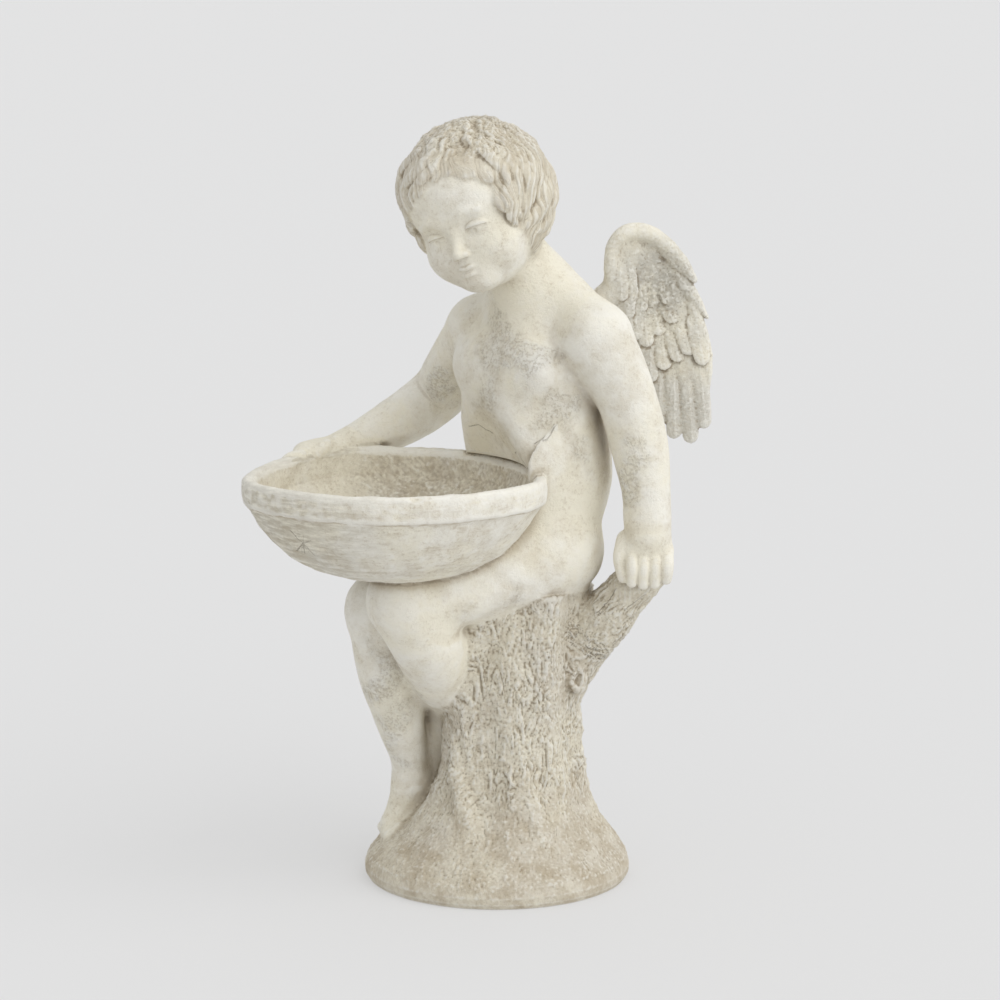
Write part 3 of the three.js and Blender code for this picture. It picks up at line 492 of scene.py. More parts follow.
def ridged(height):
    """Relief of a lock: one rounded back that falls away to both sides."""
    return lambda run, side: height * np.cos(np.minimum(np.abs(side), 1.2) * 1.6)


def from_head(p):
    return p - HEAD


def skull_way(p):
    """Degrees down from the crown and around the head of points p, undoing over_skull."""
    q = p - HEAD
    left, front, up = q @ HEAD_WAY.left, q @ HEAD_WAY.front + 6, q @ HEAD_WAY.up - 8
    front, up = (front * math.cos(SKULL_LEAN) - up * math.sin(SKULL_LEAN),
                 up * math.cos(SKULL_LEAN) + front * math.sin(SKULL_LEAN))
    return np.degrees(np.arctan2(np.hypot(left, front), up)), np.degrees(np.arctan2(left, front))


def combed(p):
    """Places over the hair that barely change along a strand, so that noise there runs with the combing."""
    down, around = skull_way(p)
    root = around - 0.5 * hair_sweep(around) * clamp(down / 90)
    bend = 8 * grain(p, 34, 141) + 3 * grain(p, 16, 142)
    turn = np.radians(root + bend / np.maximum(np.sin(np.radians(down)), 0.4))
    return np.stack([np.cos(turn) * 72, np.sin(turn) * 72, down * 0.1], axis=1)


def carve_hair():
    rng = np.random.default_rng(7)
    statue.add(ellipsoid(on_head(0, -18, 14), (67, 65, 65), HEAD_WAY), 8)
    for around in range(-180, 180, 15):  # the mass of hair under the locks
        end = hair_end(around) - 4
        joints = [(over_skull(mix(0, end, t), around, 2.5), (mix(10, 15, t), 6)) for t in (0.1, 0.4, 0.7, 1)]
        statue.lock(joints, from_head, 5)
    for row, (start, reach, count, wide) in enumerate(HAIR_ROWS):
        for i in range(count):
            around = -180 + 360 * (i + 0.5 * (row % 2) + rng.uniform(-0.2, 0.2)) / count
            root = start + rng.uniform(-3, 3)
            sway = rng.uniform(4.0, 7.5)
            phase = rng.uniform(-0.6, 0.6) + 1.8 * math.sin(math.radians(around * 2 + 50 * row))
            proud = rng.uniform(-1.0, 1.6)
            longest = reach + rng.uniform(-4, 5)
            end = min(longest, hair_end(around + hair_sweep(around)) + rng.uniform(-3, 4))
            if end - root < SHORTEST_LOCK:
                continue
            joints = []
            for j, (share, thick) in enumerate(LOCK_SHAPE):
                t = j / (len(LOCK_SHAPE) - 1)
                down = mix(root, end, t)
                turn = hair_sweep(around) * (t - 0.2) + sway * (math.sin(t * 5.5 + phase) - math.sin(phase))
                turn *= 0.9 / max(0.4, math.sin(math.radians(down)))
                lift = 4.0 + proud + 2.6 * float(step_up(t, -0.2, 0.7)) - 4.5 * float(step_up(t, 0.7, 1.05))
                half_width = wide * min(1, (end - root) / 34) * share
                joints.append((over_skull(down, around + turn, lift), (half_width, thick)))
            statue.lock(joints, from_head, 1.0, ridged(1.0), steps=3)
    for spots in BOLD_LOCKS:
        widths = np.interp(np.linspace(0, 1, len(spots)), (0, 0.4, 1), (6.5, 7.5, 1.2))
        joints = [(over_skull(*spot), (w, mix(1.4, 3.2, w / 7.5))) for spot, w in zip(spots, widths)]
        statue.lock(joints, from_head, 1.0, ridged(1.2), steps=3)
    joints = [(over_skull(*spot), (w, 1.5)) for spot, w in zip(FORELOCK, FORELOCK_WIDTHS)]
    statue.lock(joints, from_head, 0.8, steps=3)


# ---------------- wings
WING_X, WING_Y, WING_SLOPE = 110, 24, 0.05
WING_HOLLOW, WING_TOP = (160, 592), (150, 655)  # across and height of the deepest place and of the top
HOLLOW_DEPTH, HOLLOW_WIDE, HOLLOW_HIGH = 19, 32, 58
MIRROR = np.cross(facing(38), vec(0, 0, -1))  # out of the plane in which the right wing mirrors the left


def wing_point(side, across, height, proud=0.0):
    """Point of a wing: across from the body, height, and proud of its middle towards the hollow side."""
    middle, level = WING_HOLLOW
    off = ((across - middle) / HOLLOW_WIDE) ** 2 + ((height - level) / HOLLOW_HIGH) ** 2
    back = WING_Y + WING_SLOPE * (across - WING_X) + HOLLOW_DEPTH * math.exp(-off)
    q = vec(across, back - proud, height)
    return q if side > 0 else q - MIRROR * (2 * float((q - CHEST) @ MIRROR))


def vane(run, side):
    """Relief of a feather: a thin raised shaft with faint slanting barbs on each side."""
    shaft = 0.55 * np.exp(-((side / 0.11) ** 2))
    barbs = 0.12 * np.sin(run * 1.9 - np.abs(side) * 5.5) * clamp(1.5 - np.abs(side))
    return shaft + barbs


# Feathers: across and height of the root, then of the tip. Blades of the edge have a place in between too.
PRIMARIES = ((128, 545, 125, 505), (138, 550, 136, 484), (150, 552, 149, 472), (162, 552, 162.5, 464),
             (175, 552, 178, 451), (188, 550, 195, 446), (200, 545, 208, 461))
LONG_COVERTS = ((130, 582, 128, 531), (142, 580, 141, 520), (153, 575, 153.5, 509), (163, 570, 167, 521),
                (172, 565, 180, 529), (184, 562, 191, 536), (198, 562, 205, 526))
MIDDLE_COVERTS = ((126, 600, 127, 558), (137, 600, 139, 552), (145, 590, 149, 544), (154, 590, 160, 555),
                  (164, 588, 174, 567))
SMALL_COVERTS = ((122, 616, 124, 590), (131, 618, 134, 588), (141, 604, 144, 578), (129, 596, 131, 572),
                 (152, 606, 156, 584), (163, 606, 170, 585))
EDGE_BLADES = (((168, 631), (184, 617), (198, 604)), ((178, 612), (194, 589), (211, 564)),
               ((194, 580), (203.5, 553), (215, 527)), ((203, 545), (209, 522), (213, 496)))
FEATHER_ROWS = ((0, 9.2, 4.4, PRIMARIES), (6, 9.4, 3.2, LONG_COVERTS), (9, 9.4, 3.2, MIDDLE_COVERTS),
                (10.5, 8, 3.2, SMALL_COVERTS))  # proud of the wing, half width, half thickness, feathers
# Along a feather: how far along, shares of the row's lift, half width and half thickness.
FEATHER_SHAPE = ((0, 0.5, 0.9, 1), (0.5, 0.9, 1, 1), (1, 1.1, 0.88, 0.9))
WING_PLATES = ((120, 596, 130, 634, 12), (140, 572, 146, 630, 18), (164, 535, 168, 612, 20),
               (190, 515, 187, 580, 16), (176, 560, 179, 612, 13))  # from, to, half width
WING_ROLL = ((118, 586, 8), (114, 606, 7), (113, 626, 6.5), (117, 641, 7), (129, 651, 8), (147, 651, 8.5),
             (166, 640, 8), (183, 622, 6.5), (197, 603, 3.5))  # across, height, radius


def carve_wing(side):
    def w(across, height, proud=0.0):
        return wing_point(side, across, height, proud)

    normal = w(150, 500, 1) - w(150, 500, 0)
    statue.limb([(w(90, 552, -4), 20), (w(108, 586, -3), 13)], 16)  # root
    for a, h, a2, h2, wide in WING_PLATES:
        statue.add(strap(w(a, h), w(a2, h2), normal, (wide, 6), (wide, 6)), 8)
    # thin webs under the long feathers
    statue.add(strap(w(152, 540), w(158, 486), normal, (24, 3), (20, 2.6)), 4)
    statue.add(strap(w(184, 530), w(188, 470), normal, (24, 3), (22, 2.6)), 4)
    statue.limb([(w(a, h, 3), r) for a, h, r in WING_ROLL], 7)
    tilt = normal + (w(151, 500) - w(150, 500)) * 0.2
    for proud, wide, thick, feathers in FEATHER_ROWS:
        for face in (1, -1) if proud else (1,):
            for a, h, a2, h2 in feathers:
                joints = []
                for t, lift, k, m in FEATHER_SHAPE:
                    place = w(mix(a, a2, t), mix(h, h2, t), face * proud * lift)
                    joints.append((place, (wide * k, thick * m)))
                statue.lock(joints, lambda p: tilt, 0.8, vane)
    for i, ((a, h), (b, k), (c, m)) in enumerate(EDGE_BLADES):
        proud = 4 - 1.5 * i
        joints = [(w(a, h, proud), (6, 5)), (w(b, k, proud), (7, 5)), (w(c, m, proud - 1), (1.6, 2))]
        statue.lock(joints, lambda p: normal, 1.2, vane)


# ---------------- stump
STUMP_LEAN, STUMP_TOP = 13, 298
STUMP_SPACE = vec(-145, -150, -8), vec(150, 150, STUMP_TOP + 2)
BRANCH_FOOT, BRANCH_END = vec(62, -4, 208), vec(147, -39, 320)
BRANCH_WAY = unit(BRANCH_END - BRANCH_FOOT)
STUMP_PROFILE = np.array([  # height, radius
    (0, 131), (5, 134), (12, 134.5), (22, 131), (32, 123), (44, 111), (60, 96.5), (80, 83.5), (105, 74),
    (130, 70), (200, 68), (300, 63),
], float)


def stump_distance(x, y, z):
    """Round trunk on its mound, leaning to the left and ridged, cut flat at the top."""
    lean = STUMP_LEAN * clamp((z - 20) / 100) + 18 * clamp((z - 180) / 120)
    px, py = x - lean, y / 1.03
    around = np.arctan2(py, px)
    ridge = (3 * np.sin(5 * around + 1.3) + 2 * np.sin(9 * around + 0.02 * z)) * clamp((z - 30) / 50)
    wall = (np.hypot(px, py) - np.interp(z, *STUMP_PROFILE.T).astype(np.float32) - ridge) * 0.75
    return np.maximum(np.maximum(wall, z - STUMP_TOP), -z)


def carve_stump():
    statue.add(Form(*STUMP_SPACE, stump_distance), 8)
    statue.limb([(BRANCH_FOOT, 30), (BRANCH_END, 22)], 10)
    # bark up to the left thigh, with two ribs on it
    statue.limb([(6, -50, 300, 17), (-16, -50, 264, 17), (-36, -46, 222, 11), (-46, -38, 186, 8)], 12)
    for start, end in (((-16, -60, 286), (-48, -50, 206)), ((-8, -63, 286), (-41, -54, 206))):
        a, b = vec(*start), vec(*end)
        statue.limb([(a, 2.4), (mix(a, b, 0.5) + vec(1, -2, 0), 2.6), (b, 1.6)], 4)
    # two roots
    statue.limb([(-42, -46, 150, 4), (-40, -56, 118, 7), (-36, -68, 92, 8), (-25, -80, 66, 7)], 8)
    statue.limb([(30, -66, 120, 3), (34, -76, 92, 6), (44, -88, 60, 7)], 9)
    knot = Bearing(-28)
    statue.add(ellipsoid(vec(81, -35, 211), (10, 6, 17), knot), 4)
    statue.cut(ellipsoid(vec(82, -41, 211), (4, 5, 9), knot), 2)


# ---------------- basin
BASIN_X, BASIN_Y, RIM = -100, -70, 426
# Outline of the basin from its middle underneath over the rim to its floor: radius, height over the rim.
BASIN_OUT = ((0, -104), (38, -103), (62, -98), (84, -90), (105, -77), (120, -62), (132, -46), (142, -29),
             (147, -24), (148, -12), (147, -2), (144, 1))
BASIN_IN = ((138, 0), (134, -5), (131, -26), (115, -50), (92, -68), (62, -82), (30, -89), (0, -90))
# How near the belly comes to the basin's axis at the rim, and how much nearer for each millimetre over it.
LAP, LAP_SLOPE = 131, 0.55
BASIN_SPACE = vec(-255, -225, 320), vec(55, 85, 430)
LAP_SPACE = vec(-250, -220, 325), vec(50, 80, 560)
RIM_CHIPS = (((-75, -216, 427), (8, 6, 5), 0), ((-233, -118, 425), (4, 7, 3), 20))  # place, radii, bearing


def swell(angle, middle, width):
    """1 at the middle angle, 0 beyond that width to both sides, smooth between."""
    off = np.abs((angle - middle + 540) % 360 - 180)
    return np.where(off < width, 0.5 + 0.5 * np.cos(math.pi * off / width), 0)


def below_rim(z, angle):
    """Height over the basin's wavy rim, negative below it."""
    lift = -4 * swell(angle, 165, 45) - 4 * swell(angle, 15, 65) + 2.5 * swell(angle, 110, 30)
    up = z - RIM
    return up - lift * clamp((up + 60) / 60)


def basin_distance(x, y, z):
    """The basin: its outline turned about its axis, a little wider towards two sides."""
    dx, dy = x - BASIN_X, y - BASIN_Y
    angle = np.degrees(np.arctan2(dy, dx))
    r = np.hypot(dx, dy)
    spread = 0.035 * (swell(angle, -155, 34) + swell(angle, -25, 34))
    r = r / (1 + spread * clamp(r / 120))
    up = below_rim(z, angle)
    r, up = np.broadcast_arrays(r.astype(np.float32), up.astype(np.float32))
    outline = [*BASIN_OUT, *BASIN_IN]
    nearest = np.full(r.shape, FAR, np.float32)
    inside = np.zeros(r.shape, bool)
    for (r0, z0), (r1, z1) in zip(outline, outline[1:]):
        er, ez = r1 - r0, z1 - z0
        t = clamp(((r - r0) * er + (up - z0) * ez) / (er * er + ez * ez))
        nearest = np.minimum(nearest, np.hypot(r - r0 - er * t, up - z0 - ez * t))
        if z0 != z1:
            crosses = (z0 > up) != (z1 > up)
            inside ^= crosses & (r < er * (up - z0) / ez + r0)
    return np.where(inside, -nearest, nearest)


def hollow_distance(x, y, z):
    """The free space in the basin and over it, back to the belly."""
    up = z - RIM
    ring = np.array(BASIN_IN[::-1], float)
    below = np.interp(up, ring[:, 1], ring[:, 0]) + 5
    below = np.where(up < ring[0, 1], -20, below)
    wide = np.where(up > 0, LAP - LAP_SLOPE * up, below).astype(np.float32)
    return (np.hypot(x - BASIN_X, y - BASIN_Y) - wide) * 0.65


def carve_hollow():
    statue.cut(Form(*LAP_SPACE, hollow_distance), 12)


def carve_flap():
    """A thin flap of the skin, torn free of the belly along its left edge."""
    out = vec(0.3, -0.95, 0.1)
    statue.lock([((58, -59.5, 470), (1.5, 2)), ((53, -61, 455), (8, 2.4)), ((48, -63, 439), (15, 2.8)),
                 ((46, -63.5, 423), (17, 3)), ((46, -60, 404), (10, 3))], lambda p: out, 4)


def carve_basin():
    statue.add(Form(*BASIN_SPACE, basin_distance), 2)
    for place, radii, bearing in RIM_CHIPS:
        statue.cut(ellipsoid(vec(*place), radii, Bearing(bearing)), 1.5)


BODY, FACE, HAIR, WING, STUMP, BASIN = PARTS = range(6)
for part, carve, *sides in (
    (BODY, carve_legs), (STUMP, carve_stump), (BODY, carve_torso), (BODY, carve_hollow), (BODY, carve_flap),
    (FACE, carve_face), (HAIR, carve_hair), (BODY, carve_left_arm), (BODY, carve_right_arm),
    (WING, carve_wing, 1), (WING, carve_wing, -1), (BASIN, carve_basin),
):
    statue.part = part
    carve(*sides)


# ---------------- meshing
def mesh_field(carving, low, high, cell):
    """Points and quads of the carved surface: one point in each cell that the surface passes through."""
    grid = Grid(low, high, cell)
    d, _ = carving.measure(grid.places, grid.shape)
    inside = d < 0
    nx, ny, nz = (n - 1 for n in grid.shape)
    corners = [(i, j, k) for i in (0, 1) for j in (0, 1) for k in (0, 1)]
    near = [inside[i : nx + i, j : ny + j, k : nz + k] for i, j, k in corners]
    mixed = np.logical_or.reduce(near) & ~np.logical_and.reduce(near)
    cells = np.argwhere(mixed)
    number = np.full(mixed.shape, -1, np.int32)
    number[mixed] = np.arange(len(cells))
    values = {c: d[cells[:, 0] + c[0], cells[:, 1] + c[1], cells[:, 2] + c[2]] for c in corners}
    total, count = np.zeros((len(cells), 3)), np.zeros(len(cells))
    for a in corners:
        for axis in range(3):
            if a[axis]:
                continue
            b = tuple(1 if i == axis else a[i] for i in range(3))
            crossed = (values[a] < 0) != (values[b] < 0)
            t = values[a] / np.where(crossed, values[a] - values[b], 1)
            spot = np.zeros((len(cells), 3)) + a
            spot[:, axis] = t
            total += np.where(crossed[:, None], spot, 0)
            count += crossed
    points = np.asarray(low, float) + cell * (cells + total / count[:, None])
    quads = []
    for axis in range(3):
        u, v = (axis + 1) % 3, (axis + 2) % 3
        first = tuple(slice(0, -1) if i == axis else slice(1, -1) for i in range(3))
        second = tuple(slice(1, None) if i == axis else slice(1, -1) for i in range(3))
        lower, upper = inside[first], inside[second]
        for outward, pick in ((True, lower & ~upper), (False, upper & ~lower)):
            at = np.argwhere(pick)
            at[:, u] += 1
            at[:, v] += 1
            ring = []
            for du, dv in ((-1, -1), (0, -1), (0, 0), (-1, 0)):
                c = at.copy()
                c[:, u] += du
                c[:, v] += dv
                ring.append(number[c[:, 0], c[:, 1], c[:, 2]])
            quads.append(np.stack(ring if outward else ring[::-1], axis=1))
    return points, np.concatenate(quads)


TETRAHEDRON = np.array([(1, 1, 1), (1, -1, -1), (-1, 1, -1), (-1, -1, 1)], float)


def settle(points, stride=0.35, limit=1.0):
    """Moves points on to the carved surface; also gives its outward direction and the part at each point."""
    around = [Cloud(points + stride * corner).measure(statue) for corner in TETRAHEDRON]
    slope = sum(corner[None, :] * d[:, None] for corner, (d, _) in zip(TETRAHEDRON, around)) / (4 * stride)
    steep = np.maximum(np.linalg.norm(slope, axis=1), 0.25)
    rise = sum(d for d, _ in around) / 4
    points = points - slope * clamp(rise / steep**2, -limit, limit)[:, None]
    return points, slope / steep[:, None], around[0][1]


def split_quads(points, quads, chosen):
    """Parts each chosen quad into four. Quads beside them get the new middles of shared edges as corners."""
    tails, heads = quads, np.roll(quads, -1, axis=1)
    key = np.minimum(tails, heads).astype(np.int64) * len(points) + np.maximum(tails, heads)
    wanted = np.unique(key[chosen])
    a, b = wanted // len(points), wanted % len(points)
    middles = (points[a] + points[b]) / 2
    centres = points[quads[chosen]].mean(axis=1)
    slot = np.searchsorted(wanted, key)
    slot = np.minimum(slot, len(wanted) - 1)
    has = wanted[slot] == key
    middle = np.where(has, len(points) + slot, -1)
    centre = len(points) + len(middles) + np.arange(len(centres))
    q, m = quads[chosen], middle[chosen]
    fine = np.concatenate([np.stack([q[:, i], m[:, i], centre, m[:, i - 1]], axis=1) for i in range(4)])
    rest_quads, rest_middle = quads[~chosen], middle[~chosen]
    ring = np.stack([rest_quads, rest_middle], axis=2).reshape(len(rest_quads), 8)
    plain = (rest_middle < 0).all(axis=1)
    return np.concatenate([points, middles, centres]), [fine, rest_quads[plain]], ring[~plain]


# ---------------- noise
def scrambled(*numbers):
    """A repeatable pseudo-random value from whole numbers."""
    h = np.zeros(np.shape(numbers[0]), np.uint32)
    for n in numbers:
        h = (h ^ np.asarray(n).astype(np.int64).astype(np.uint32)) * np.uint32(0x9E3779B1)
        h ^= h >> np.uint32(15)
        h = h * np.uint32(0x85EBCA6B)
        h ^= h >> np.uint32(13)
    return h


def grain(p, size, seed, stretch=(1, 1, 1)):
    """Smooth gradient noise between about -1 and 1, with lumps of that size in millimetres."""
    q = (p / (size * np.asarray(stretch, float))).astype(np.float32)
    low = np.floor(q)
    f = q - low
    cell = low.astype(np.int64)
    s = f * f * f * (f * (f * 6 - 15) + 10)
    total = np.zeros(len(p), np.float32)
    for i in (0, 1):
        for j in (0, 1):
            for k in (0, 1):
                h = scrambled(cell[:, 0] + i, cell[:, 1] + j, cell[:, 2] + k, seed)
                gx = (h & np.uint32(1023)).astype(np.float32) / 511.5 - 1
                gy = (h >> np.uint32(10) & np.uint32(1023)).astype(np.float32) / 511.5 - 1
                gz = (h >> np.uint32(20) & np.uint32(1023)).astype(np.float32) / 511.5 - 1
                dot = gx * (f[:, 0] - i) + gy * (f[:, 1] - j) + gz * (f[:, 2] - k)
                weight = np.abs(1 - i - s[:, 0]) * np.abs(1 - j - s[:, 1]) * np.abs(1 - k - s[:, 2])
                total += weight * dot
    return total * 1.6


def grains(p, size, seed, octaves):
    """Noise with ever finer lumps on top of those of that size."""
    return sum(grain(p, size / 2**i, seed + i) / 2**i for i in range(octaves))


def warped(p, size, amount, seed):
    """The points shifted about, so that noise taken there winds."""
    return p + amount * np.stack([grain(p, size, seed + i) for i in range(3)], axis=1)


def billows(p, size, seed, octaves):
    """Rounded clumps with sharp valleys between them, from 0 in the valleys up to about 1."""
    return sum(np.abs(grain(p, size / 2**i, seed + i)) / 1.8**i for i in range(octaves))


def seams(n, width):
    """0 along the lines where noise n passes zero, 1 away from them."""
    return step_up(np.abs(n), 0, width)


# ---------------- relief
def soften(values, edges, rounds):
    """Averages values, or places and directions, over neighbouring points of the mesh."""
    if values.ndim == 2:
        return np.stack([soften(column, edges, rounds) for column in values.T], axis=1)
    a, b = edges
    count = len(values)
    degree = np.maximum(np.bincount(a, minlength=count) + np.bincount(b, minlength=count), 1)
    for _ in range(rounds):
        total = np.bincount(a, values[b], count) + np.bincount(b, values[a], count)
        values = 0.5 * values + 0.5 * total / degree
    return values


def near_spot(p, spot, reach):
    """1 at a spot, falling off as a bell of that reach."""
    return np.exp(-((p - np.asarray(spot, float)) ** 2 / np.asarray(reach, float) ** 2).sum(axis=1))


LINE_DEPTH = 7  # how far under or over a drawn line the skin may lie
WORN_SPOTS = (  # places where the skin has weathered: centre, reach
    ((-2, -30, 545), (30, 30, 40)), ((-28, -20, 470), (26, 30, 40)), ((64, -44, 470), (30, 30, 60)),
    ((129, -66, 424), (22, 26, 44)), ((-30, -60, 300), (50, 40, 26)), ((-108, -40, 200), (30, 30, 80)),
    ((-60, 60, 480), (40, 40, 40)), ((60, 60, 420), (60, 40, 90)), ((20, -50, 540), (30, 30, 20)),
)
CRACKS_AND_SHADOW_LINE = (  # lines on the skin: belly, torn flap, star in the basin's side, cut branch
    ((-27, 18, 457), (-19, 6, 460), (-11, 1, 456), (-6, -4.5, 454)),
    ((57, -62, 471), (52, -62, 461), (48, -61, 456), (39, -58, 452), (28, -45, 447), (18, -31, 438)),
    # a painted shadow line in the crevice along the torn flap's left edge
    ((27, -45, 447), (30, -51, 437), (33, -56, 428), (37, -60, 418)),
    ((-195, -166, 386), (-183, -164, 376), (-174, -160, 364)),
    ((-172, -172, 384), (-183, -164, 376), (-190, -150, 366)),
    ((-185, -165, 389), (-183, -164, 376), (-184, -155, 363)),
    ((101, -45, 280), (109, -50, 291), (117, -52, 304)), ((128, -55, 285), (138, -58, 291), (147, -58, 298)),
)
FOLDS = (  # soft creases of the plump skin: line, depth, half width
    (((123, -57, 364), (145, -73, 368.5), (168, -64, 369)), 0.5, 4),
    (((-172, 66, 446), (-165, 51, 431)), 1.2, 3),
    (((-8, -88, 330), (14, -86, 316), (34, -76, 309)), 1.1, 6),
    (((-66, -100, 268), (-48, -96, 262), (-36, -84, 266)), 1.3, 5),
    (((-118, -6, 100), (-98, -18, 92), (-76, -10, 96)), 1.2, 4),
)


def from_line(p, normals, line):
    """How far each point lies sideways of a line drawn on the skin, and how far past the line's ends."""
    nearest, side, past = (np.full(len(p), FAR) for _ in range(3))
    near = np.flatnonzero(near_spot(p, np.mean(line, axis=0), (60, 60, 60)) > 0.1)
    q, out = p[near], normals[near]
    for a, b in zip(line, line[1:]):
        d = vec(*b) - vec(*a)
        off = q - a - clamp((q - a) @ d / (d @ d))[:, None] * d
        rise = (off * out).sum(axis=1)
        flat = np.linalg.norm(off - rise[:, None] * out, axis=1)
        across = np.cross(d / np.linalg.norm(d), out)
        lateral = (off * across).sum(axis=1)
        away = flat + clamp(np.abs(rise) - LINE_DEPTH, 0, FAR)
        closer = away < nearest[near]
        pick = near[closer]
        nearest[pick] = away[closer]
        side[pick] = lateral[closer]
        past[pick] = nearest[pick] - np.abs(lateral[closer])
    return side, past


def bark_way(p):
    """Places on the stump pressed together along its bark, up the trunk and out along the branch."""
    around = np.arctan2(p[:, 1], p[:, 0] - 25)
    trunk = np.stack([70 * np.cos(around), 70 * np.sin(around), 0.42 * p[:, 2]], axis=1)
    run = (p - BRANCH_FOOT) @ BRANCH_WAY
    branch = p - 0.6 * run[:, None] * BRANCH_WAY
    off = np.linalg.norm(p - BRANCH_FOOT - run[:, None] * BRANCH_WAY, axis=1)
    share = step_up(run, 44, 66) * (1 - step_up(off, 40, 50))
    return mix(trunk, branch, share[:, None])


PLANED_SPOTS = (((76, -56, 298), (20, 24, 34)), ((128, -54, 300), (20, 16, 12)))  # bark worn smooth


def bark_relief(p):
    """Leafy clumps and fibres of the bark, finer grit on the mound, a smooth foot; and how sunken it is."""
    way = warped(warped(bark_way(p), 16, 6, 11), 5, 1.8, 17)
    leaves = billows(way, 7.5, 21, 3)
    grit = grains(p, 3.4, 31, 2)
    fibres = grain(way, 2.2, 33, (1, 1, 1.6))
    crust = step_up(grain(p, 19, 45), -0.4, 0.3)
    planed = clamp(sum(near_spot(p, spot, reach) for spot, reach in PLANED_SPOTS))
    trunk = step_up(p[:, 2], 62, 110)
    depth = mix(0.62, 1.0, trunk) * (1 - 0.85 * planed)
    foot = step_up(p[:, 2], 6, 24)
    tool = 0.3 * np.sin(p[:, 0] * 1.3) * planed
    low = 1.5 * grains(p, 26, 41, 2)
    bold = mix(0.5, 1.35, crust) * mix(0.6, 1, trunk)
    rise = depth * (bold * 2.8 * (leaves - 0.45) + mix(1.1, 0.6, trunk) * grit + 0.45 * fibres) + low + tool
    valleys = 1 - step_up(leaves, 0.02, 0.34)
    sunk = depth * (bold * 0.6 * valleys + 0.3 * clamp(-grit) + 0.15 * clamp(-fibres))
    return rise * mix(0.15, 1, foot), sunk * foot


def fold_relief(p, normals):
    """How deep the soft folds of the skin are at each point, and how strongly they are drawn there."""
    depths, drawn = np.zeros(len(p)), np.zeros(len(p))
    for line, depth, width in FOLDS:
        side, past = from_line(p, normals, line)
        groove = hump(side, 0, width) * hump(clamp(past, 0, 50), 0, 4)
        depths += depth * groove
        drawn += groove
    return depths, drawn


def basin_relief(p, normals, bowl, crumbs):
    """The basin's uneven outside, its brushed and pitted inside, and where inside and pits are."""
    x, y = p[:, 0] - BASIN_X, p[:, 1] - BASIN_Y
    around, away = np.arctan2(y, x), np.hypot(x, y)
    under = below_rim(p[:, 2], np.degrees(around))
    inside = bowl * step_up(normals[:, 2], -0.1, 0.2) * step_up(BASIN_IN[0][0] - 1 - away, 0, 4)
    inside = inside * step_up(-3 - under, 0, 6)
    pitted = inside * mix(0.3, 1, step_up(p[:, 0] + 0.6 * p[:, 1] + 150, 0, 90))
    uneven = 0.9 * grains(p, 26, 91, 2) + 0.3 * grains(p, 6, 93, 2) * (1 - inside)
    stroke_place = np.stack([130 * around + 0.9 * under, 0.45 * under - 45 * around, 0 * under], axis=1)
    strokes = 1 - seams(grain(warped(stroke_place, 9, 2, 97), 3.0, 95), 0.5)
    rise = bowl * uneven - pitted * (0.8 * strokes + 0.4 * crumbs)
    sunk = pitted * (0.5 * strokes + 0.3 * crumbs)
    return rise, sunk, {"inside": inside, "pitted": pitted, "under_rim": under * bowl - 200 * (1 - bowl)}


def wing_relief(p, plume, wound):
    """Curled crust on the feathers, coarse and beaded in the wing's hollow; and where the hollow is."""
    curls = billows(warped(wound, 4, 1.5, 73), 5.2, 71, 2)
    cup = clamp(sum(near_spot(p, wing_point(side, *WING_HOLLOW), (30, 34, 44)) for side in (1, -1)))
    edge = clamp(sum(near_spot(p, wing_point(side, *WING_TOP), (60, 30, 22)) for side in (1, -1)))
    beads = grain(wound, 3.4, 105)
    curled = mix(0.75, 1.6, cup) * (1 - 0.7 * edge)
    rise = plume * (0.45 * grains(p, 18, 107, 2) + curled * (curls - 0.4) + 0.8 * cup * beads)
    sunk = plume * (curled * 0.5 * (1 - step_up(curls, 0, 0.3)) + 0.3 * cup * clamp(-beads))
    return rise, sunk, plume * cup


def hair_relief(p, mane, crumbs):
    """Strands along the combing and tufts, shorter and weathered at the crown; and where the crown is."""
    strand_place = combed(p)
    strand = grain(strand_place, 3.3, 122)
    bundle = clamp(np.abs(grain(strand_place, 8.5, 123)) * 2.2)
    tufts = grains(p, 8, 121, 3)
    crown = step_up(p[:, 2], *CROWN)
    rise = mane * (0.45 * strand + 0.9 * (bundle - 0.6) + tufts * (0.35 + 1.5 * crown) - 0.5 * crown * crumbs)
    sunk = mane * (0.4 * clamp(-strand * 1.5) + 0.4 * (1 - bundle) + 0.3 * crown * crumbs)
    return rise, sunk, crown


def relief(p, normals, part):
    """How far the cast surface stands proud of the carving, and how sunken, worn and pitted it is there."""
    bark, plume, bowl, mane = (part[i] for i in (STUMP, WING, BASIN, HAIR))
    skin = clamp(1 - bark - plume - bowl - mane)
    wound = warped(p, 11, 3.2, 11)
    crumbs = 1 - seams(grain(wound, 3.1, 31), 0.4)
    bark_rise, bark_sunk = bark_relief(p)
    folds, drawn = fold_relief(p, normals)
    bowl_rise, bowl_sunk, tints = basin_relief(p, normals, bowl, crumbs)
    wing_rise, wing_sunk, cup = wing_relief(p, plume, wound)
    hair_rise, hair_sunk, crown = hair_relief(p, mane, crumbs)
    worn = sum(near_spot(p, spot, reach) for spot, reach in WORN_SPOTS) + 0.5 * grains(p, 34, 61, 3)
    worn = clamp(skin * step_up(worn, 0.3, 0.9) + bark)
    uneven = 0.5 * grains(p, 30, 81, 2) + 0.45 * (0.3 + worn) * grains(p, 9, 83, 2) * (1 - bark)
    rise = bark * bark_rise + skin * (uneven - folds) + bowl_rise + wing_rise + hair_rise
    sunk = bark * bark_sunk + skin * 0.22 * drawn + bowl_sunk + wing_sunk + hair_sunk
    worn = clamp(worn + 0.4 * tints["pitted"] + mane * (0.1 + 0.5 * crown))
    return rise.astype(float), {"sunk": clamp(sunk), "worn": worn, "cup": cup, **tints}


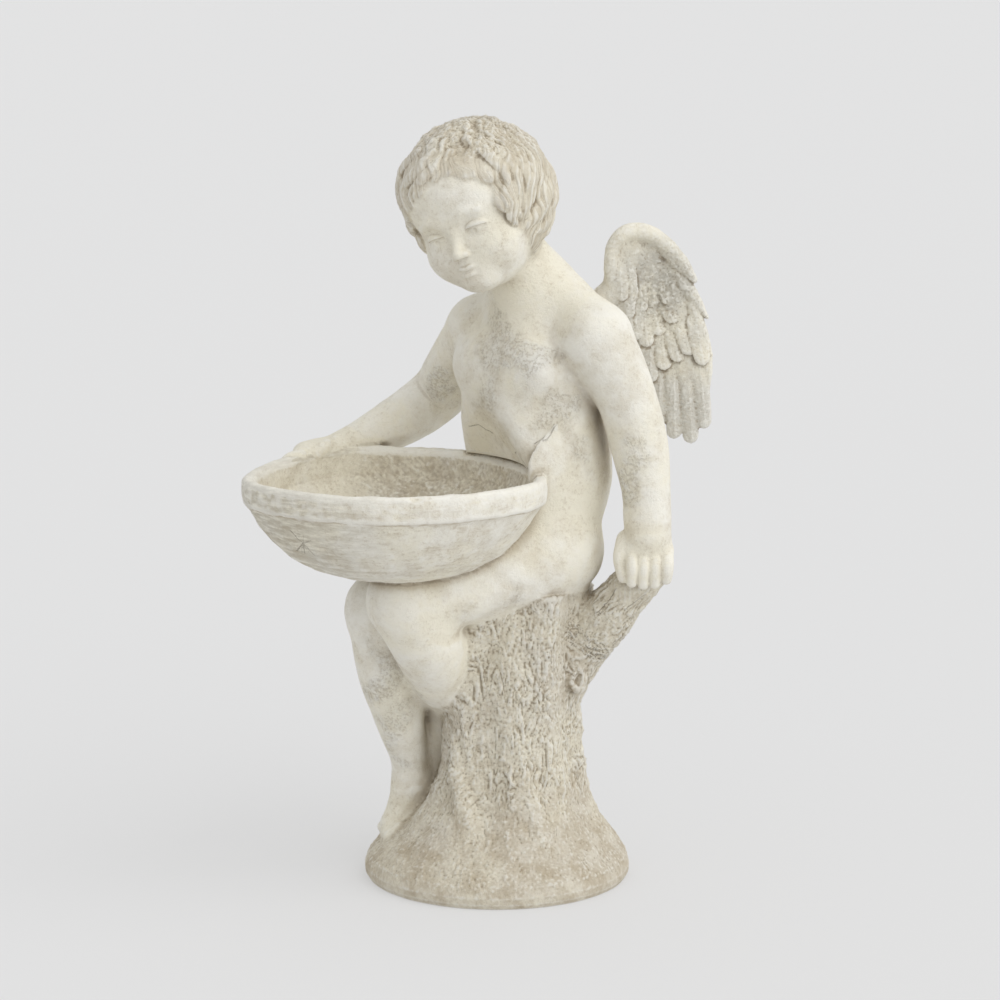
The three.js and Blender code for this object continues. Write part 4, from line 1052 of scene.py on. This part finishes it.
# ---------------- the skin
def corner_normals(points, polygons):
    """Outward direction at each point, from the polygons round it."""
    total = np.zeros_like(points)
    for corners in polygons:
        q = points[corners[:, :: corners.shape[1] // 4]]
        n = np.cross(q[:, 2] - q[:, 0], q[:, 3] - q[:, 1])
        for i in range(corners.shape[1]):
            real = corners[:, i] >= 0
            for axis in range(3):
                total[:, axis] += np.bincount(corners[real, i], n[real, axis], len(points))
    return total / np.maximum(np.linalg.norm(total, axis=1), 1e-12)[:, None]


def edges_of(polygons, count):
    """The ends of all edges of the polygons, each edge once."""
    keys = []
    for corners in polygons:
        kept = corners if corners.shape[1] == 4 else corners[:, ::2]
        a, b = kept, np.roll(kept, -1, axis=1)
        keys.append((np.minimum(a, b).astype(np.int64) * count + np.maximum(a, b)).ravel())
    key = np.unique(np.concatenate(keys))
    return key // count, key % count


CLOSE_WORK = (  # skin that is meshed finer: centre, reach
    ((147, -58, 335), 42), ((-182, 56, 424), 42), ((-102, 4, 50), 42),  # hands and foot
    ((-66, -20, 190), 52), ((-66, 0, 130), 40),  # gap between the legs
    ((40, -54, 442), 36), ((-183, -158, 374), 22), ((-75, -216, 426), 16),  # flap, star crack, rim chip
)
FEATURES, FEATURES_REACH = on_head(0, 60, -28), 42  # eyes, nose and mouth, meshed finest
BLEND = 6  # rounds of averaging over which one part's surface runs into the next
AIR_NEAR, AIR_FAR = 5.0, 16.0  # how far out of the skin free air is felt for
# both count the painted shadow line by the torn flap as a crack
CRACK_AND_SHADOW_MARGIN, CRACK_AND_SHADOW_REACH = 14, 50  # skin this near a crack keeps sharp normals; how far off cracks are told


def carved_skin():
    """Points and polygons of the skin, meshed finer where the carving is fine and finest on the face."""
    points, quads = mesh_field(statue, *SPACE, SKIN_CELL)
    _, part_at = Cloud(points).measure(statue)
    fine = np.isin(part_at, (FACE, HAIR, WING, STUMP)) & (points[:, 2] > 0.5)
    for spot, reach in CLOSE_WORK:
        fine |= np.linalg.norm(points - np.asarray(spot, float), axis=1) < reach
    points, (fine_quads, plain_quads), ring = split_quads(points, quads, fine[quads].any(axis=1))
    finest = np.linalg.norm(points[fine_quads].mean(axis=1) - FEATURES, axis=1) < FEATURES_REACH
    points, fine_polygons, fine_ring = split_quads(points, fine_quads, finest)
    return points, [*fine_polygons, fine_ring, plain_quads, ring]


def from_cracks_and_shadow_line(points, normals):
    """How far each point lies sideways of the nearest of the cracks and the painted shadow line, and how far
    past its ends.
    """
    off, beyond = (np.full(len(points), FAR) for _ in range(2))
    for line in CRACKS_AND_SHADOW_LINE:
        side, past = from_line(points, normals, line)
        closer = np.abs(side) + past < np.abs(off) + beyond
        off[closer], beyond[closer] = side[closer], past[closer]
    return off, beyond


def filled(points, normals, reach):
    """Painted-shade measure: 0 where nothing stands in front of the skin within that reach, up to 1 in gaps
    and corners.
    """
    return 1 - clamp(Cloud(points + normals * reach).measure(statue)[0] / reach, -0.2, 1)


points, polygons = carved_skin()
points, normals, part_at = settle(points)
edges = edges_of(polygons, len(points))
part_share = np.stack([soften((part_at == part).astype(float), edges, BLEND) for part in PARTS])
rise, tints = relief(points, normals, part_share)
off_crack, past_crack = from_cracks_and_shadow_line(points, normals)
# how closed in the skin is, near by and farther out, for the painted shade in gaps and corners
tight, shade = filled(points, normals, AIR_NEAR), filled(points, normals, AIR_FAR)
points = points + normals * rise[:, None]
points[:, 2] = np.maximum(points[:, 2], 0)
normals = corner_normals(points, polygons)
smooth_share = part_share[BODY] * (np.abs(off_crack) + past_crack > CRACK_AND_SHADOW_MARGIN)
normals = mix(normals, soften(normals, edges, 3), smooth_share[:, None])
normals /= np.linalg.norm(normals, axis=1)[:, None]
# how far each point lies under its smoothed neighbours, in creases and in broader hollows; drives brown wash
# and painted shade there
even = soften(points, edges, 2)
evener = soften(even, edges, 10)
tints |= {
    "bark": part_share[STUMP], "plume": part_share[WING], "bowl": part_share[BASIN], "mane": part_share[HAIR],
    "combed": combed(points) * MM, "tight": tight, "shade": shade,
    "crease": ((even - points) * normals).sum(axis=1), "hollow": ((evener - points) * normals).sum(axis=1),
    "off_crack": clamp(off_crack, -CRACK_AND_SHADOW_REACH, CRACK_AND_SHADOW_REACH), "past_crack": clamp(past_crack, 0, CRACK_AND_SHADOW_REACH),
}


def piece_mesh(name, polygons, chosen):
    """A Blender mesh of the chosen polygons, with the skin's own normals and tints."""
    loops, totals = [], []
    for corners, keep in zip(polygons, chosen):
        kept = corners[keep]
        loops.append(kept[kept >= 0])
        totals.append((kept >= 0).sum(axis=1))
    loops, totals = np.concatenate(loops), np.concatenate(totals)
    used, loops = np.unique(loops, return_inverse=True)
    mesh = bpy.data.meshes.new(name)
    mesh.vertices.add(len(used))
    mesh.vertices.foreach_set("co", (points[used] * MM).astype(np.float32).ravel())
    mesh.loops.add(len(loops))
    mesh.loops.foreach_set("vertex_index", loops.astype(np.int32))
    mesh.polygons.add(len(totals))
    mesh.polygons.foreach_set("loop_start", (np.cumsum(totals) - totals).astype(np.int32))
    mesh.update(calc_edges=True)
    mesh.validate()
    for tint, values in tints.items():
        if values.ndim == 1:
            layer = mesh.attributes.new(tint, "FLOAT", "POINT")
            layer.data.foreach_set("value", values[used].astype(np.float32))
        elif name == "hair":
            layer = mesh.attributes.new(tint, "FLOAT_VECTOR", "POINT")
            layer.data.foreach_set("vector", values[used].astype(np.float32).ravel())
    mesh.shade_smooth()
    mesh.normals_split_custom_set_from_vertices(normals[used].astype(np.float32))
    return mesh


MOUND_TOP = 78
LEGS_TOP, LEGS_EDGE = 352, 102  # the legs are the skin below this height and on this side of the left hand
on_stump, high_up = part_at == STUMP, points[:, 2] > MOUND_TOP
front = np.abs(np.degrees(np.arctan2(points[:, 1], points[:, 0])) + 90) < 90
on_skin = (part_at == BODY) | (part_at == FACE)
named = {
    "hair": part_at == HAIR, "wings": part_at == WING, "basin": part_at == BASIN,
    "stump_front": on_stump & high_up & front, "stump_back": on_stump & high_up,
    "mound_front": on_stump & front, "mound_back": on_stump,
    "legs": on_skin & (points[:, 2] < LEGS_TOP) & (points[:, 0] < LEGS_EDGE),
}
PIECES = ("figure", *named)
label = np.select(list(named.values()), list(range(1, len(PIECES))), 0)
labels = [label[np.maximum(corners[:, 0], 0)] for corners in polygons]
pieces = []
for i, name in enumerate(PIECES):
    piece = bpy.data.objects.new(name, piece_mesh(name, polygons, [own == i for own in labels]))
    bpy.context.scene.collection.objects.link(piece)
    pieces.append(piece)
    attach(piece, "root")
    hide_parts("cherub_statue")


# ---------------- stone
class Shade:
    """A shader value that is worked with as a number."""

    nodes = links = None

    def __init__(self, socket):
        self.socket = socket

    @classmethod
    def paint(cls, material):
        material.use_nodes = True
        cls.nodes, cls.links = material.node_tree.nodes, material.node_tree.links
        cls.nodes.clear()

    @classmethod
    def node(cls, kind, settings=None, **sockets):
        """Adds a node with its settings and sockets, named (_ for a space) or numbered (i0, i1)."""
        node = cls.nodes.new("ShaderNode" + kind)
        for key, value in (settings or {}).items():
            setattr(node, key, value)
        for key, value in sockets.items():
            socket = node.inputs[int(key[1:]) if key[1:].isdigit() else key.replace("_", " ")]
            if isinstance(value, Shade):
                cls.links.new(value.socket, socket)
            else:
                socket.default_value = value
        return node

    @classmethod
    def maths(cls, operation, *values):
        node = cls.node("Math", {"operation": operation}, **{f"i{i}": v for i, v in enumerate(values)})
        return Shade(node.outputs[0])

    def __add__(self, other):
        return self.maths("ADD", self, other)

    def __sub__(self, other):
        return self.maths("SUBTRACT", self, other)

    def __rsub__(self, other):
        return self.maths("SUBTRACT", other, self)

    def __mul__(self, other):
        return self.maths("MULTIPLY", self, other)

    __radd__, __rmul__ = __add__, __mul__

    def __abs__(self):
        return self.maths("ABSOLUTE", self)

    def clamped(self):
        return self.maths("MINIMUM", self.maths("MAXIMUM", self, 0.0), 1.0)

    def between(self, low, high):
        """0 below low, 1 above high, smooth between."""
        settings = {"interpolation_type": "SMOOTHSTEP"}
        return Shade(self.node("MapRange", settings, Value=self, From_Min=low, From_Max=high).outputs[0])


def tint(name):
    return Shade(Shade.node("Attribute", {"attribute_name": name}).outputs["Fac"])


def speckle(place, size, detail, roughness=0.6):
    """Noise over the stone with lumps of that size in metres."""
    node = Shade.node("TexNoise", None, Vector=place, Scale=1 / size, Detail=detail, Roughness=roughness)
    return Shade(node.outputs["Fac"])


def stain(base, colour, amount):
    """Lays a colour over a base colour."""
    base, colour = (c if isinstance(c, Shade) else (*c, 1) for c in (base, colour))
    node = Shade.node("Mix", {"data_type": "RGBA", "clamp_factor": True}, i0=amount, i6=base, i7=colour)
    return Shade(node.outputs[2])


CREAM = (0.855, 0.815, 0.69)
CHALK = (0.89, 0.875, 0.82)
GREYED = (0.57, 0.555, 0.505)
PUTTY = (0.65, 0.59, 0.465)
UMBER = (0.25, 0.195, 0.135)
TAN = (0.47, 0.39, 0.275)
SOOT = (0.12, 0.105, 0.085)
SLATE = (0.37, 0.35, 0.30)
DRAB = (0.5, 0.465, 0.38)


BAND_LOW, BAND_HIGH = -27.5, 0.5  # the band under the basin's rim, millimetres over the rim


def aged_cast_stone():
    """Cream wash over tan stone, with brown wash and painted shade in the recesses, worn patches, cracks, a
    painted shadow line by the torn flap and a streaked band.
    """
    material = bpy.data.materials.new("aged_cast_stone")
    Shade.paint(material)
    place = Shade(Shade.node("TexCoord").outputs["Object"])
    flat = Shade(Shade.node("VectorMath", {"operation": "MULTIPLY"}, i0=place, i1=(1, 1, 6)).outputs[0])
    axes = Shade.node("SeparateXYZ", None, Vector=place).outputs
    east, height = Shade(axes[0]), Shade(axes[2])
    bark, plume, bowl, mane = (tint(n) for n in ("bark", "plume", "bowl", "mane"))
    worn, sunk, hollow, tight, shade = (tint(n) for n in ("worn", "sunk", "hollow", "tight", "shade"))
    crease, inner, pitted, cup = (tint(n) for n in ("crease", "inside", "pitted", "cup"))
    clouds = speckle(place, 0.09, 4.0)
    blotch = speckle(place, 0.03, 5.0, 0.65)
    dust = speckle(place, 0.006, 4.0, 0.7)
    crumb = speckle(place, 0.0035, 5.0, 0.75)
    sand = speckle(place, 0.0016, 2.0, 0.6)
    streaks = speckle(flat, 0.02, 4.0, 0.6)
    combing = Shade(Shade.node("Attribute", {"attribute_name": "combed"}).outputs["Vector"])
    hairs = speckle(combing, 0.0017, 2.0, 0.55)
    locks = speckle(combing, 0.005, 2.0, 0.5)
    mound = 1.0 - height.between(0.03, 0.15)
    carved = (0.35 + 0.65 * (bark + mane + plume)).clamped()
    outer = 1.0 - inner
    # the basin's left side, away from the light, where shade is painted
    shaded_west = 1.0 - east.between(-0.21, -0.06)
    under = tint("under_rim")
    band = under.between(BAND_LOW, BAND_LOW + 2.5) * (1.0 - under.between(BAND_HIGH - 1.5, BAND_HIGH))
    ledge = under.between(BAND_LOW, BAND_LOW + 1.2) * (1.0 - under.between(BAND_LOW + 1.9, BAND_LOW + 2.9))
    wander = speckle(place, 0.004, 3.0) * 3.0 - 1.5
    # the cracks and, by the torn flap, a painted shadow line, as thin wandering lines
    cracks_and_shadow_line = 1.0 - abs(tint("off_crack") + wander).between(0.1, 0.75)
    cracks_and_shadow_line = cracks_and_shadow_line * (1.0 - tint("past_crack").between(0.3, 3.0))
    fretted = (worn * (1.0 - bark) * (1.0 - mane) * (1.0 - bowl)).between(0.2, 0.9)
    pricked = fretted * speckle(place, 0.0026, 2.0, 0.5).between(0.53, 0.6)
    colour = CREAM
    for tone, amount in (
        (CHALK, clouds.between(0.42, 0.62) * 0.7),
        (PUTTY, (blotch * 0.6 + clouds * 0.4).between(0.45, 0.62) * 0.5),
        (GREYED, (plume * 0.75 + bowl * 0.12) * clouds.between(0.3, 0.6)),
        (PUTTY, bark * 0.25 + mane * 0.25),
        (TAN, bark * clouds.between(0.46, 0.6) * 0.2),
        (TAN, bark * mound * (0.15 + 0.5 * blotch.between(0.4, 0.65))),
        (TAN, worn * dust.between(0.44, 0.64) * (0.14 + 0.22 * bark)),
        (TAN, crumb.between(0.5, 0.66) * (0.1 + 0.3 * blotch.between(0.4, 0.6) + 0.15 * bowl)),
        (TAN, sunk * 0.6),
        # brown wash and painted shade in hollows and creases, strongest on the carved bark, hair and wings
        (TAN, hollow.between(0.1, 0.9) * carved * 0.5),
        (UMBER, crease.between(0.05, 0.26) * carved * 0.45),
        # painted shade: tan where the skin is closed in over a wide reach, umber in narrow gaps and corners
        (TAN, shade.between(0.3, 1.0) * 0.42),
        (UMBER, tight.between(0.35, 1.0) * 0.6),
        # grey crust and painted shade in the wing's hollow under its roll
        (SLATE, cup * (0.25 + 0.5 * dust.between(0.4, 0.6))),
        (TAN, inner * blotch.between(0.45, 0.65) * 0.2),
        (UMBER, pitted * dust.between(0.42, 0.64) * 0.22),
        # drab streaks on the basin's outside, only on its left: streaked grime, and painted shade on the side
        # away from the light
        (DRAB, bowl * outer * shaded_west * streaks.between(0.3, 0.6) * 0.7),
        (CHALK, outer * band * east.between(-0.16, -0.05) * streaks.between(0.42, 0.62) * 0.5),
        (TAN, bowl * outer * streaks.between(0.5, 0.68) * blotch.between(0.4, 0.6) * 0.45),
        (TAN, outer * ledge * streaks.between(0.36, 0.5) * 0.75),
        (CHALK, (0.0 - hollow).between(0.08, 0.5) * 0.5),
        (SOOT, dust.between(0.66, 0.8) * sand.between(0.5, 0.7) * 0.45),
        (UMBER, mane * (1.0 - hairs).between(0.52, 0.68) * 0.26),
        (TAN, mane * locks.between(0.5, 0.66) * 0.3),
        # umber along the cracks, and along the torn flap's crevice as painted shadow
        (UMBER, cracks_and_shadow_line * blotch.between(0.25, 0.6) * 0.7),
        (TAN, pricked * 0.28),
    ):
        colour = stain(colour, tone, amount)
    proud = dust * (0.5 + 0.6 * worn) + crumb * (0.8 + 0.8 * worn) + sand * 0.3 + mane * hairs * 1.2
    proud = proud - cracks_and_shadow_line - pricked * 0.7
    bump = Shade(Shade.node("Bump", None, Strength=0.7, Distance=0.0024, Height=proud).outputs[0])
    roughness = 0.86 + 0.1 * blotch
    shader = Shade.node("BsdfPrincipled", None, Base_Color=colour, Roughness=roughness, Normal=bump)
    shader.inputs["Specular IOR Level"].default_value = 0.25
    output = Shade.node("OutputMaterial")
    Shade.links.new(shader.outputs[0], output.inputs["Surface"])
    return material


stone = aged_cast_stone()
for piece in pieces:
    piece.data.materials.append(stone)


# ---------------- studio
FLOOR_REACH = 60.0  # metres of pale floor each way, so that it fills the view
CAMERA_PLACE, CAMERA_DIP, CAMERA_LENS = (0.003, -3.5, 1.03), 10.44, 128.0


def pale_floor():
    r = FLOOR_REACH
    mesh = bpy.data.meshes.new("pale_floor")
    mesh.from_pydata([(-r, -r, 0), (r, -r, 0), (r, r, 0), (-r, r, 0)], [], [(0, 1, 2, 3)])
    floor = bpy.data.objects.new("pale_floor", mesh)
    bpy.context.scene.collection.objects.link(floor)
    paper = bpy.data.materials.new("pale_paper")
    paper.use_nodes = True
    shader = paper.node_tree.nodes["Principled BSDF"]
    shader.inputs["Base Color"].default_value = (0.36, 0.36, 0.361, 1)
    shader.inputs["Emission Color"].default_value = (1, 1, 1.002, 1)
    shader.inputs["Emission Strength"].default_value = 0.385
    shader.inputs["Roughness"].default_value = 0.95
    shader.inputs["Specular IOR Level"].default_value = 0.1
    mesh.materials.append(paper)


def soft_sun(name, direction, spread, strength, colour):
    """A wide even light from far off; direction points from the statue to the light."""
    lamp = bpy.data.lights.new(name, "SUN")
    lamp.angle, lamp.energy, lamp.color = math.radians(spread), strength, colour
    light = bpy.data.objects.new(name, lamp)
    light.rotation_euler = Vector(direction).to_track_quat("Z", "Y").to_euler()
    bpy.context.scene.collection.objects.link(light)


def camera():
    data = bpy.data.cameras.new("view")
    data.lens, data.sensor_width = CAMERA_LENS, 36.0
    data.clip_start, data.clip_end = 0.1, 200
    view = bpy.data.objects.new("view", data)
    view.location = CAMERA_PLACE
    view.rotation_euler = (math.radians(90 - CAMERA_DIP), 0, 0)
    bpy.context.scene.collection.objects.link(view)
    bpy.context.scene.camera = view


camera()
pale_floor()
soft_sun("window", (1.0, -0.7, 0.85), 75, 1.3, (1.0, 0.995, 0.98))
soft_sun("skylight", (0.1, -0.2, 1.0), 120, 0.5, (1.0, 1.0, 1.0))
world = bpy.data.worlds.new("studio_air")
world.use_nodes = True
world.node_tree.nodes["Background"].inputs["Color"].default_value = (0.99, 0.995, 1.0, 1)
world.node_tree.nodes["Background"].inputs["Strength"].default_value = 0.64
bpy.context.scene.world = world
bpy.context.scene.view_settings.view_transform = "Standard"
